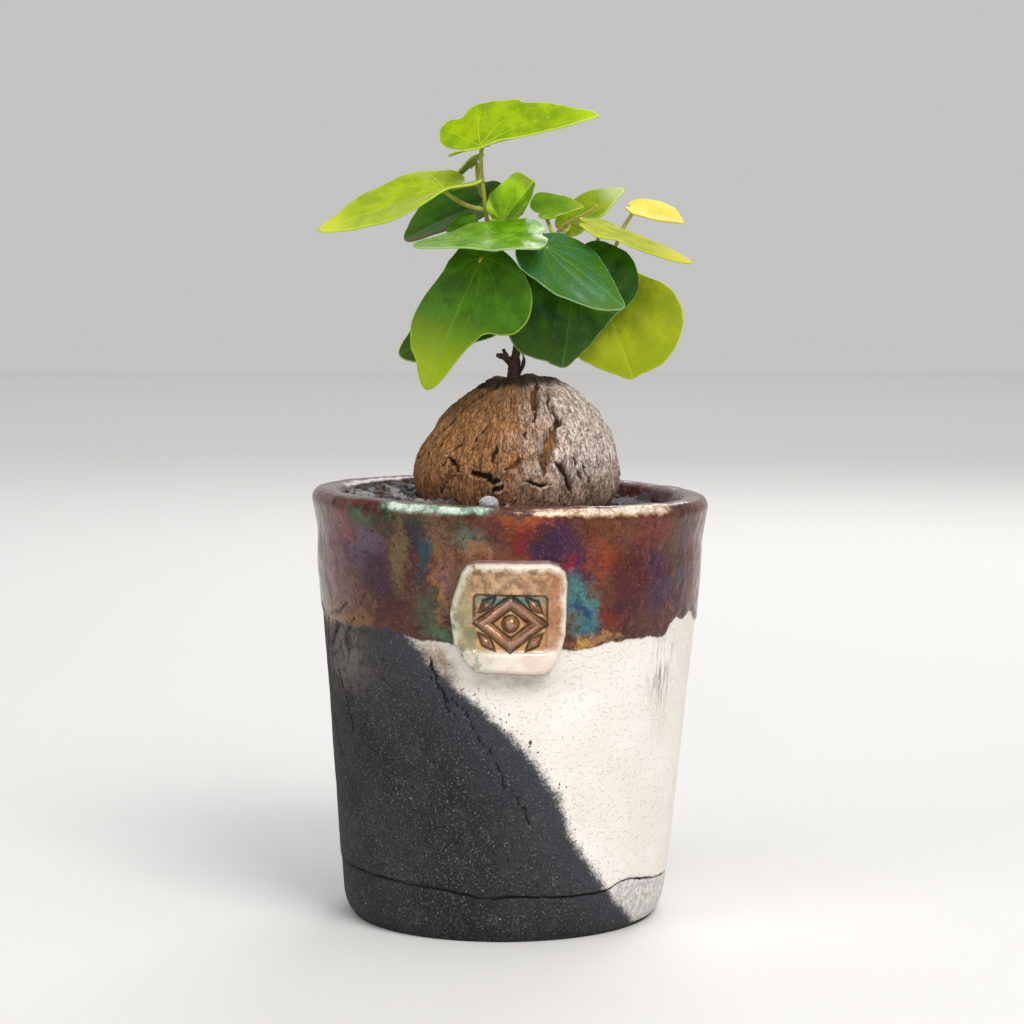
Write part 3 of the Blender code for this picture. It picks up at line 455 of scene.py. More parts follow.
@dataclass(frozen=True)
class RakuClay(Finish):
    """Raku-fired stoneware: smoke-blackened clay, bare white clay and a lustre glaze round the rim.

    The bare clay is dry and grogged, so it is rough, with pits and pale specks. The copper glaze is glassy over a
    metallic layer of shifting colours, crazed into plates a few millimetres wide.
    """

    pits: float = 0.9
    speck: float = 0.7
    craze: float = 5.0
    washes: tuple[Wash, ...] = WASHES
    radius: float = 43.0

    def draw(self, tree: bpy.types.NodeTree, shader: bpy.types.Node) -> None:
        """Lay the black and the white clay, the glaze, and the dirt in the seam and cracks."""
        where = add_node(tree, "TexCoord").outputs["Object"]
        fine = grain(tree, where, 0.45, Detail=4.0)
        medium = grain(tree, where, 3.0, Detail=5.0, Roughness=0.6)
        broad = grain(tree, where, 16.0, Detail=4.0)

        smoke = marked(tree, "smoke")
        ragged = combine(tree, "MULTIPLY_ADD", medium, 1.7, combine(tree, "MULTIPLY_ADD", fine, 1.7, smoke))
        black_share = step(tree, ragged, 1.0, 2.3)
        fogged = step(tree, ragged, -2.5, 4.5)
        smoky = self.smoked(tree, where, fine, medium, broad)
        pale = self.bare(tree, where, fine, medium, broad, ragged, fogged)
        clay = blend(tree, black_share, pale, smoky)

        glaze = marked(tree, "glaze")
        wavy = combine(tree, "MULTIPLY_ADD", medium, 1.8, combine(tree, "MULTIPLY_ADD", fine, 0.5, glaze))
        glaze_share = step(tree, wavy, 0.9, 1.5)
        lustre = self.lustre(tree, where, fine, medium, broad)
        body = blend(tree, glaze_share, clay, lustre)
        dark = marked(tree, "crack")
        gap = step(tree, combine(tree, "MULTIPLY_ADD", fine, 0.3, dark), 0.35, 0.85)
        tree.links.new(blend(tree, gap, body, "#17130f"), shader.inputs["Base Color"])

        dry = step(tree, fine, 0.3, 0.7, (0.62, 0.9))
        satin = blend(tree, black_share, (0.5, 0.5, 0.5, 1.0), dry)
        glossy = step(tree, medium, 0.35, 0.7, (0.12, 0.3))
        tree.links.new(blend(tree, glaze_share, satin, glossy), shader.inputs["Roughness"])
        tree.links.new(combine(tree, "MULTIPLY", glaze_share, 0.08), shader.inputs["Metallic"])
        tree.links.new(combine(tree, "MULTIPLY", glaze_share, 0.12), shader.inputs["Coat Weight"])
        shader.inputs["Specular IOR Level"].default_value = 0.22
        shader.inputs["Coat Roughness"].default_value = 0.1

        pitted = step(tree, grain(tree, where, self.pits, Detail=1.0), 0.3, 0.42)
        rough = combine(tree, "MULTIPLY_ADD", fine, 0.5, pitted)
        pebbled = combine(tree, "MULTIPLY", grain(tree, where, 1.1, Detail=2.0), 0.45)
        ripple = combine(tree, "MULTIPLY_ADD", grain(tree, where, 2.8, Detail=2.0), 1.3, pebbled)
        height = blend(tree, glaze_share, rough, ripple)
        bump = add_node(tree, "Bump", {"Strength": 0.55, "Distance": 0.35 * MM, "Height": height})
        tree.links.new(bump.outputs[0], shader.inputs["Normal"])

    def smoked(self, tree: bpy.types.NodeTree, where: Socket, fine: Socket, medium: Socket, broad: Socket) -> Socket:
        """The carbon-black clay: grey-black with scuffs, dark pits and pale grog."""
        ground = blend(tree, step(tree, broad, 0.35, 0.7), "#1b1a1c", "#2d2c2f")
        ground = blend(tree, step(tree, medium, 0.5, 0.75, (0.0, 0.35)), ground, "#4a4747")
        scuffed = combine(tree, "MULTIPLY", marked(tree, "scuff"), step(tree, medium, 0.3, 0.6))
        ground = blend(tree, scuffed, ground, "#746c64")
        pits = step(tree, grain(tree, where, self.pits * 0.8, Detail=1.0), 0.38, 0.3)
        ground = blend(tree, pits, ground, "#131313")
        for apart, colour in ((0.6, "#6c6a67"), (1.2, "#85837f"), (3.3, "#b2aea6")):
            specks = add_node(tree, "TexVoronoi", {"Vector": where, "Scale": 1 / (apart * MM)})
            near = step(tree, specks.outputs["Distance"], 0.2 / apart, 0.1 / apart)
            chosen = step(tree, specks.outputs["Color"], 0.55, 0.72)
            ground = blend(tree, combine(tree, "MULTIPLY", near, chosen), ground, colour)
        ground = blend(tree, step(tree, fine, 0.45, 0.72, (0.0, 0.45)), ground, "#5e5c5a")
        thinned = step(tree, combine(tree, "MULTIPLY_ADD", broad, 9.0, marked(tree, "smoke")), 13.0, 4.0, (0.0, 0.42))
        return blend(tree, thinned, ground, "#464a53")

    def bare(
        self,
        tree: bpy.types.NodeTree,
        where: Socket,
        fine: Socket,
        medium: Socket,
        broad: Socket,
        ragged: Socket,
        fogged: Socket,
    ) -> Socket:
        """The white clay: warm white with grey fog, smears and black specks towards the smoke."""
        ground = blend(tree, step(tree, broad, 0.3, 0.7), "#f0ebe6", "#e8e1d8")
        ground = blend(tree, step(tree, fogged, 0.55, 1.0, (0.0, 0.75)), ground, "#8f8880")
        streaks = grain(tree, where, 1.1, stretch=(1, 1, 9), Detail=4.0)
        smeared = combine(tree, "MULTIPLY", marked(tree, "smear"), step(tree, streaks, 0.45, 0.68))
        ground = blend(tree, smeared, ground, "#84807c")
        # A tan stain beside the pad and a painted shadow under it, in one brown-grey
        stain_and_shadow_share = combine(tree, "MULTIPLY", marked(tree, "stain_and_shadow"), step(tree, medium, 0.3, 0.62, (0.45, 1.0)))
        ground = blend(tree, stain_and_shadow_share, ground, "#806a50")
        clouded = grain(tree, where, 1.3, Detail=5.0, Roughness=0.7)
        mottles = combine(tree, "MULTIPLY", marked(tree, "band"), step(tree, clouded, 0.35, 0.65, (0.15, 0.8)))
        ground = blend(tree, mottles, ground, "#979aa2")
        dotted = grain(tree, where, self.speck, Detail=2.0)
        limit = step(tree, combine(tree, "MULTIPLY_ADD", medium, 4.0, ragged), -1.0, 4.5, (0.0, 0.14))
        specks = step(tree, combine(tree, "ADD", dotted, limit), 0.76, 0.8)
        ground = blend(tree, specks, ground, "#3b3835")
        return blend(tree, step(tree, fine, 0.5, 0.8, (0.0, 0.25)), ground, "#cfc6b6")

    def lustre(self, tree: bpy.types.NodeTree, where: Socket, fine: Socket, medium: Socket, broad: Socket) -> Socket:
        """The glaze: washes of colour that run into one another, pale over the front of the lip where it breaks thin
        and where a highlight is painted, and crazed.
        """
        wall = add_node(tree, "UVMap", uv_map="wall").outputs[0]
        warped = wall
        for size, reach in ((6.0, 9.0), (1.3, 4.0), (0.5, 1.6)):
            links = {"Vector": where, "Scale": 1 / (size * MM), "Detail": 4.0}
            shift = add_node(tree, "TexNoise", links).outputs["Color"]
            shift = add_node(tree, "VectorMath", {0: shift, 1: (0.5, 0.5, 0.5)}, operation="SUBTRACT").outputs[0]
            links = {0: shift, 1: (reach * MM, 1.2 * reach * MM, 0.0), 2: warped}
            warped = add_node(tree, "VectorMath", links, operation="MULTIPLY_ADD").outputs[0]
        colour = blend(tree, step(tree, broad, 0.35, 0.65), "#5e4636", "#4e2a28")
        curds = grain(tree, where, 1.1, Detail=6.0, Roughness=0.75, Distortion=0.8)
        clouds = grain(tree, where, 2.4, Detail=6.0, Roughness=0.7, Distortion=1.5)
        broken = combine(tree, "MULTIPLY_ADD", curds, 1.3, combine(tree, "MULTIPLY_ADD", clouds, 1.0, -1.15))
        for wash in self.washes:
            centre = (math.radians(wash.azimuth) * self.radius * MM, wash.height * MM, 0.0)
            links = {"Vector": warped, "Location": tuple(-c for c in centre)}
            moved = add_node(tree, "Mapping", links).outputs[0]
            scale = (1 / (wash.across * MM), 1 / (wash.along * MM), 0.0)
            links = {"Vector": moved, "Rotation": (0.0, 0.0, math.radians(wash.turn))}
            turned = add_node(tree, "Mapping", links).outputs[0]
            sized = add_node(tree, "Mapping", {"Vector": turned, "Scale": scale}).outputs[0]
            away = add_node(tree, "VectorMath", {0: sized}, operation="LENGTH").outputs["Value"]
            share = step(tree, combine(tree, "ADD", away, broken), 1.3, 0.3, (0.0, 0.92 * wash.strength))
            colour = blend(tree, share, colour, wash.colour)
        colour = blend(tree, step(tree, clouds, 0.48, 0.7, (0.0, 0.7)), colour, "#2e120e")
        colour = blend(tree, step(tree, clouds, 0.4, 0.25, (0.0, 0.35)), colour, "#a08c80")
        colour = blend(tree, step(tree, curds, 0.52, 0.68, (0.0, 0.6)), colour, "#220d18")
        colour = blend(tree, step(tree, curds, 0.42, 0.3, (0.0, 0.4)), colour, "#a88c7c")
        folds = grain(tree, where, 9.0, Detail=3.0, Roughness=0.45, Distortion=1.2)
        rings = combine(tree, "SINE", combine(tree, "MULTIPLY", folds, 30.0))
        right = step(tree, marked(tree, "side"), 0.3, 0.65, (0.2, 1.0))
        right = combine(tree, "MULTIPLY", right, step(tree, broad, 0.4, 0.56))
        dark_rings = combine(tree, "MULTIPLY", right, step(tree, rings, 0.2, 0.95, (0.0, 0.45)))
        colour = blend(tree, dark_rings, colour, "#2c0c18")
        pale_rings = combine(tree, "MULTIPLY", right, step(tree, rings, -0.7, -1.0, (0.0, 0.28)))
        colour = blend(tree, pale_rings, colour, "#a8746a")
        # Pale flecks painted as glints on the glaze
        colour = blend(tree, step(tree, fine, 0.6, 0.78, (0.0, 0.45)), colour, "#caa88a")
        colour = blend(tree, 1.0, colour, "#f4d4ca", "MULTIPLY")
        # The pale band on the front lip is partly glaze breaking thin and partly a painted highlight
        thin = combine(tree, "MULTIPLY_ADD", curds, 1.5, marked(tree, "lip"))
        thin = combine(tree, "MULTIPLY_ADD", grain(tree, where, 3.4, Detail=5.0), 1.3, thin)
        mint = step(tree, marked(tree, "side"), -0.1, 0.15)
        paler = blend(tree, step(tree, thin, 2.7, 2.1), blend(tree, mint, "#d6e0d6", "#f2e8dc"),
                      blend(tree, mint, "#6f9078", "#b89878"))
        colour = blend(tree, step(tree, thin, 1.75, 2.35), colour, paler)
        links = {"Vector": where, "Scale": 1 / (self.craze * MM)}
        cells = add_node(tree, "TexVoronoi", links, feature="DISTANCE_TO_EDGE").outputs["Distance"]
        line = step(tree, cells, 0.016, 0.004, (0.0, 0.35))
        return blend(tree, line, colour, "#241a18")


# The pot


@dataclass
class RakuPot:
    """A hand-thrown pot: a tapered wall with a rounded lip, a base band below an open seam, and a drain hole."""

    height: float = 96.5
    columns: int = 448
    front_share: float = 0.36
    base_offset: float = -1.5
    rim_tilt: float = math.radians(1.3)
    wobble: float = 0.22
    seam_depth: float = 0.8
    seam_width: float = 0.3
    glaze_thickness: float = 0.35
    # (radius, height, how many parts the stretch to the next point is cut into), up the wall and over the lip
    wall: tuple[Point, ...] = (
        (34.3, 0.0, 3), (35.9, 1.6, 4), (36.9, 4.2, 4), (37.3, 7.0, 5), (37.5, 9.0, 16), (37.95, 13.6, 11),
        (38.6, 21.0, 34), (40.5, 44.0, 36), (42.6, 67.7, 20), (43.6, 80.8, 10), (43.7, 87.0, 8), (44.4, 91.2, 6),
        (44.9, 93.9, 4), (44.5, 95.5, 4), (43.2, 96.45, 5), (40.4, 96.35, 4), (38.9, 95.3, 4), (38.2, 93.1, 1),
    )
    # The same, down the inside and through the floor
    inside: tuple[Point, ...] = (
        (38.2, 93.1, 6), (37.2, 80.0, 6), (32.2, 13.0, 2), (31.2, 9.2, 2), (28.0, 7.0, 5), (5.5, 7.0, 2),
        (5.5, 0.6, 1), (6.1, 0.0, 5),
    )
    # Azimuth and height of the glaze's lower edge
    glaze_edge: tuple[Point, ...] = (
        (-180, 64), (-150, 61), (-120, 66), (-95, 68.5), (-76, 67.7), (-55, 67.6), (-34, 68.3), (-31, 67.4),
        (-26, 66.6), (-18, 66.4), (15, 65.7), (20, 65.2), (28, 66.3), (38, 67.4), (53, 67.1), (55, 67.5),
        (57, 69.4), (61, 70.9), (65, 69.7), (71, 71.4), (79, 69.1), (100, 66), (130, 60), (155, 62), (180, 64),
    )
    # Height and azimuth of the edge between the black clay, on its left, and the white
    smoke_front: tuple[Point, ...] = (
        (0, 57), (2.6, 51.3), (6.8, 43.4), (9.7, 39), (12.7, 35), (16.9, 30.1), (19.3, 26.5), (24.5, 21.7),
        (32.3, 17), (38.8, 11.2), (43.3, 5.7), (47.6, -0.6), (51.9, -6.3), (56, -14.5), (61.5, -22.6),
        (66.8, -29.6), (75, -40),
    )
    smoke_back: tuple[Point, ...] = ((0, 128), (12, 124), (30, 139), (50, 134), (70, 150))
    seam: tuple[Point, ...] = (
        (-180, 11.0), (-140, 11.6), (-100, 11.4), (-74, 11.8), (-60, 12.1), (-39, 11.8), (-19, 11.2), (-5, 10.0),
        (2, 10.7), (18, 10.4), (36, 10.8), (46, 12.6), (58, 11.7), (77, 10.6), (110, 11.4), (150, 11.8),
        (180, 11.0),
    )
    # Cracks in the wall as routes of (azimuth, height), with their widths
    cracks: tuple[tuple[float, tuple[Point, ...]], ...] = (
        (0.4, ((-80, 70.5), (-73, 67.8), (-66, 69.8), (-61, 70.6), (-55, 73.2))),
        (0.32, ((-64, 66.7), (-71, 62.4), (-67, 57.5), (-61, 50.6), (-58, 44.0))),
        (0.24, ((-73, 67.8), (-77, 60.0), (-76, 48.7), (-68, 36.8))),
        (0.26, ((-24, 63.0), (-23, 60.5), (-21, 57.3), (-18, 53.0))),
        (0.22, ((-57, 67.0), (-52, 69.5), (-47, 70.6))),
        (0.16, ((-17, 54.5), (-12, 51.0), (-9, 46.0), (-3.5, 41.5), (0, 35.0), (4, 33.0), (8, 27.5))),
        (0.2, ((-24, 58.5), (-20, 56.0), (-19, 52.5), (-16, 50.5))),
    )

    def hand_shaped(self, points: np.ndarray) -> np.ndarray:
        """Lean, tilt and swell the truly turned pot as the CAD does."""
        x, y, z = points.T
        angle = np.arctan2(y, x)
        swell = 1 + self.wobble * smoothstep(0.0, self.height, z) * np.sin(3 * angle + 0.6) / 44.9
        lean = self.base_offset * np.maximum(0.0, 1 - z / self.height) ** 1.5
        drop = x * math.tan(self.rim_tilt) * smoothstep(3.0, 12.0, z)
        return np.column_stack((x * swell + lean, y * swell, z - drop))

    def radius_at(self, z: np.ndarray) -> np.ndarray:
        """The radius of the outer wall at a height."""
        table = np.array(self.wall[:13])
        return np.interp(z, table[:, 1], table[:, 0])

    def profile(self) -> list[Point]:
        """The closed outline of half the pot's section as (radius, height)."""
        found = []
        bare = [row[:2] for row in self.wall]
        for i, (*_, pieces) in enumerate(self.wall[:-1]):
            found += curve_through(bare[max(i - 1, 0) : i + 3], int(pieces))[
                int(pieces) * min(i, 1) : int(pieces) * (min(i, 1) + 1)
            ]
        for (r0, z0, pieces), (r1, z1, _) in zip(self.inside, (*self.inside[1:], self.wall[0])):
            found += [(r0 + (r1 - r0) * k / pieces, z0 + (z1 - z0) * k / pieces) for k in range(int(pieces))]
        return found

    def turned(self) -> Skin:
        """Wrap a sheet round the profile, with more columns at the front than at the back."""
        profile = np.array(self.profile())
        skin, u, v = Skin.sheet("raku_pot", self.columns, len(profile))
        radius, z = profile[np.rint(v * len(profile)).astype(int) % len(profile)].T
        azimuth = (2 * u - 1) * math.pi
        azimuth -= self.front_share * np.sin(azimuth)
        skin.points = np.column_stack((radius * np.sin(azimuth), -radius * np.cos(azimuth), z))
        skin.weld()
        return skin

    def build(self, finish: Finish) -> bpy.types.Object:
        """Turn the pot, mark its zones, and work the seam, the cracks and the glaze into its surface.

        Args:
            finish: The raku clay and glaze.

        Returns:
            The pot as a piece.
        """
        skin = self.turned()
        points = skin.points
        x, y, z = points.T
        azimuth = np.degrees(np.arctan2(x, -y))
        radius = np.hypot(x, y)
        outer = smoothstep(-1.2, -0.2, radius - np.where(z > 90, 41.2, self.radius_at(z)))
        arc = np.radians(azimuth) * self.radius_at(z)
        unrolled = np.column_stack((arc, z, np.zeros(len(z))))

        glaze = z - np.interp(azimuth, *zip(*self.glaze_edge)) + 0.5 * noise_at(points, 4.0, octaves=2)
        glaze = np.where((outer < 0.1) & (z < 96), np.where(z > 60, 12.0, -12.0), glaze)
        left = azimuth - np.interp(z, *zip(*self.smoke_front))
        right = np.interp(z, *zip(*self.smoke_back)) - azimuth
        smoke = -np.minimum(left * 0.7 * 0.5, right * 0.7) * 0.74
        smoke = np.where((outer < 0.1) | (z < 0.5), 8.0, smoke)
        band_top = np.interp(azimuth, *zip(*curve_through(self.seam, 6)))
        seam = np.abs(z - band_top - 0.22 * noise_at(points, 2.2, octaves=3))
        seam_cut = np.exp(-((seam / self.seam_width) ** 2)) * outer * (0.75 + 0.5 * noise_at(points, 6.0, 3.1))
        crack = np.zeros(len(z))
        wander = np.column_stack((noise_at(points, 2.5, 7.0), noise_at(points, 2.5, 9.0), np.zeros(len(z))))
        for width, route in self.cracks:
            path = [(math.radians(a) * float(self.radius_at(np.array(h))), h, 0.0) for a, h in route]
            away = route_distance(unrolled + 0.7 * wander, np.array(path))
            crack = np.maximum(crack, np.exp(-((away / width) ** 2)) * outer)
        band = smoothstep(0.3, -0.3, z - band_top) * outer

        faint = smoothstep(-36, -50, azimuth) * smoothstep(-112, -96, azimuth) * outer
        normals = skin.normals
        glazed = smoothstep(0.0, 1.4, glaze)
        relief = 0.14 * noise_at(points, 14.0, 2.0) + 0.05 * noise_at(points, 3.0, 5.0) * (1 - glazed)
        relief += glazed * (self.glaze_thickness + 0.12 * noise_at(points, 5.0, 1.0, octaves=2)) - 0.2
        relief += 0.16 * np.exp(-(((glaze - 0.9) / 0.7) ** 2)) * outer * (1 - faint)
        lip = smoothstep(93.0, 95.6, z)
        relief += lip * (0.22 * noise_at(points, 7.0, 4.0) - 0.1)
        relief -= self.seam_depth * seam_cut + 0.5 * crack + 0.15 * band
        relief *= np.where((outer < 0.1) & (z < 88), 0.0, 1.0)
        relief *= smoothstep(0.0, 1.0, z)
        skin.points = self.hand_shaped(points + normals * relief[:, None])

        skin.mark("glaze", glaze * (1 - 0.75 * faint))
        skin.mark("smoke", smoke)
        skin.mark("crack", np.maximum(seam_cut * 1.15, crack))
        skin.mark("scuff", np.exp(-(((azimuth + 62) / 14) ** 2) - ((z - 61) / 8) ** 2))
        # A tan stain left of the pad, and below the pad a painted shadow where the proud pad shades the wall
        beside = np.exp(-(((azimuth + 20.5 + 0.7 * (z - 62)) / 5.5) ** 2) - ((z - 62) / 6.5) ** 2)
        below = np.exp(-(((azimuth - 1) / 15) ** 2) - ((z - 58.5) / 2.6) ** 2)
        skin.mark("stain_and_shadow", np.maximum(beside, 0.55 * below))
        skin.mark("band", band)
        skin.mark("smear", np.exp(-(((azimuth - 55) / 5.5) ** 2) - ((z - 61) / 9) ** 2))
        # The front of the lip: pale where the glaze breaks thin, plus a painted highlight, kept to the side facing the
        # front
        lip_break_and_highlight = smoothstep(93.4, 95.4, z) * smoothstep(96.6, 96.1, z) * outer
        lip_break_and_highlight *= smoothstep(-46, -34, azimuth) * smoothstep(60, 46, azimuth)
        skin.mark("lip", lip_break_and_highlight * (1 - 0.7 * np.exp(-(((azimuth - 1) / 7) ** 2))))
        skin.mark("side", np.sin(np.radians(azimuth)))
        self.unroll(skin, azimuth, z)
        return skin.piece(["pot"], Slot.CLAY, finish)

    def unroll(self, skin: Skin, azimuth: np.ndarray, z: np.ndarray) -> None:
        """Lay the wall flat as a UV map in metres, cut at the back."""
        corners = skin.corner_points()
        turn = azimuth[corners].reshape(-1, 4)
        split = (turn.max(axis=1) - turn.min(axis=1)) > 180
        turn[split] = np.where(turn[split] < 0, turn[split] + 360, turn[split])
        skin.spread("wall", np.column_stack((np.radians(turn.ravel()) * 43.0, z[corners])) * MM)


@dataclass
class Medallion:
    """The pad pressed on the front wall: rounded edges and a stamped field with a plain lozenge in it."""

    pot: RakuPot
    cell: float = 0.17
    proud: float = 3.0
    sunk: float = 0.8
    dish: float = 0.4
    root: float = -1.6
    outline: tuple[Point, ...] = (
        (-12.9, 73.3), (-12.5, 76.2), (-11.5, 79.2), (-10.5, 82.3), (-9.2, 84.0), (-7.4, 84.6), (9.0, 84.8),
        (11.1, 84.2), (12.4, 82.8), (12.9, 80.6), (12.7, 69.4), (11.7, 65.4), (9.8, 61.7), (7.9, 60.5),
        (-7.2, 60.8), (-9.0, 62.1), (-12.0, 67.0),
    )
    field_outline: tuple[Point, ...] = (
        (-7.5, 66.0), (-7.5, 77.2), (-6.9, 77.8), (7.8, 77.8), (8.4, 77.2), (8.4, 66.0), (7.8, 65.4), (-6.9, 65.4),
    )
    field_centre: Point = (0.45, 71.6)
    lozenge: Point = (6.1, 4.7)
    stroke: float = 0.8

    def build(self, finish: Finish) -> bpy.types.Object:
        """Raise the pad from a fine grid and bend it round the wall.

        Args:
            finish: The glaze on the pad.

        Returns:
            The medallion as a piece.
        """
        (west, south), (east, north) = np.min(self.outline, axis=0) - 1.2, np.max(self.outline, axis=0) + 1.2
        across, up = int((east - west) / self.cell), int((north - south) / self.cell)
        skin, u, v = Skin.sheet("medallion", across, up)
        x, z = west + u * (east - west), south + v * (north - south)
        flat = np.column_stack((x, z))
        space = np.column_stack((x, np.zeros(len(x)), z))
        inset = inside_distance(flat, self.outline) + 0.12 * noise_at(space, 3.0, 1.0)
        rise = self.root + (self.proud - self.root) * (1 - np.clip(1 - (inset + 0.75) / 1.9, 0, 1) ** 2.4)
        rise += 0.1 * noise_at(space, 4.0, 2.0, octaves=2) * smoothstep(0.3, 1.0, inset)
        rise -= self.dish * smoothstep(1.4, 2.8, inset) * smoothstep(64.2, 66.0, z)
        into = inside_distance(flat, self.field_outline)
        deep = self.sunk * (0.75 + 0.45 * smoothstep(68, 76, z))
        rise -= deep * smoothstep(-0.35, 0.45, into)
        stamp, groove = self.stamp(x, z)
        rise += (1.0 * stamp - 0.5 * groove) * smoothstep(0.2, 0.7, into)
        wall = self.pot.radius_at(z) + rise
        angle = np.arcsin(x / (self.pot.radius_at(z) + self.proud))
        bent = np.column_stack((wall * np.sin(angle), -wall * np.cos(angle), z))
        skin.points = self.pot.hand_shaped(bent)
        skin.mark("inset", inset)
        skin.mark("into", into)
        # groove: pooled glaze beside the strokes with painted shade, and a painted shadow line inside the field's edge,
        # strongest at its top
        skin.mark("groove", np.maximum(groove, 0.75 * np.exp(-((into / 0.4) ** 2)) * smoothstep(67, 74, z)))
        skin.mark("stamp", stamp)
        self.close(skin)
        return skin.piece(["pot"], Slot.CLAY, finish)

    def stamp(self, x: np.ndarray, z: np.ndarray) -> tuple[np.ndarray, np.ndarray]:
        """The raised strokes of a lozenge with a boss and four corner leaves, and the grooves beside them."""
        dx, dz = np.abs(x - self.field_centre[0]), np.abs(z - self.field_centre[1])
        wide, tall = self.lozenge
        slope = wide * tall / math.hypot(wide, tall)
        edge = (dx / wide + dz / tall - 1) * slope
        boss = np.hypot(dx, dz) - 1.35
        leaf = np.abs((dx - (wide - 0.9)) * 0.7 + (dz - (tall - 0.7)) * 0.7) + 0.45 * np.abs(
            (dx - (wide - 0.9)) * 0.7 - (dz - (tall - 0.7)) * 0.7
        )
        nearest = np.minimum(np.minimum(np.abs(edge) - self.stroke, boss), leaf - 0.75)
        raised = np.sqrt(np.clip((0.25 - nearest) / (0.25 + self.stroke), 0, 1))
        return raised, np.exp(-(((nearest - 0.42) / 0.3) ** 2))

    @staticmethod
    def close(skin: Skin) -> None:
        """Give the pad a flat back inside the wall."""
        bm = bmesh.new()
        bm.from_mesh(skin.mesh)
        rim = [e for e in bm.edges if e.is_boundary]
        back = bmesh.ops.extrude_edge_only(bm, edges=rim)["geom"]
        moved = [v for v in back if isinstance(v, bmesh.types.BMVert)]
        bmesh.ops.translate(bm, verts=moved, vec=(0.0, 1.2, 0.0))
        bmesh.ops.holes_fill(bm, edges=[e for e in bm.edges if e.is_boundary])
        bmesh.ops.recalc_face_normals(bm, faces=bm.faces)
        bm.to_mesh(skin.mesh)
        bm.free()


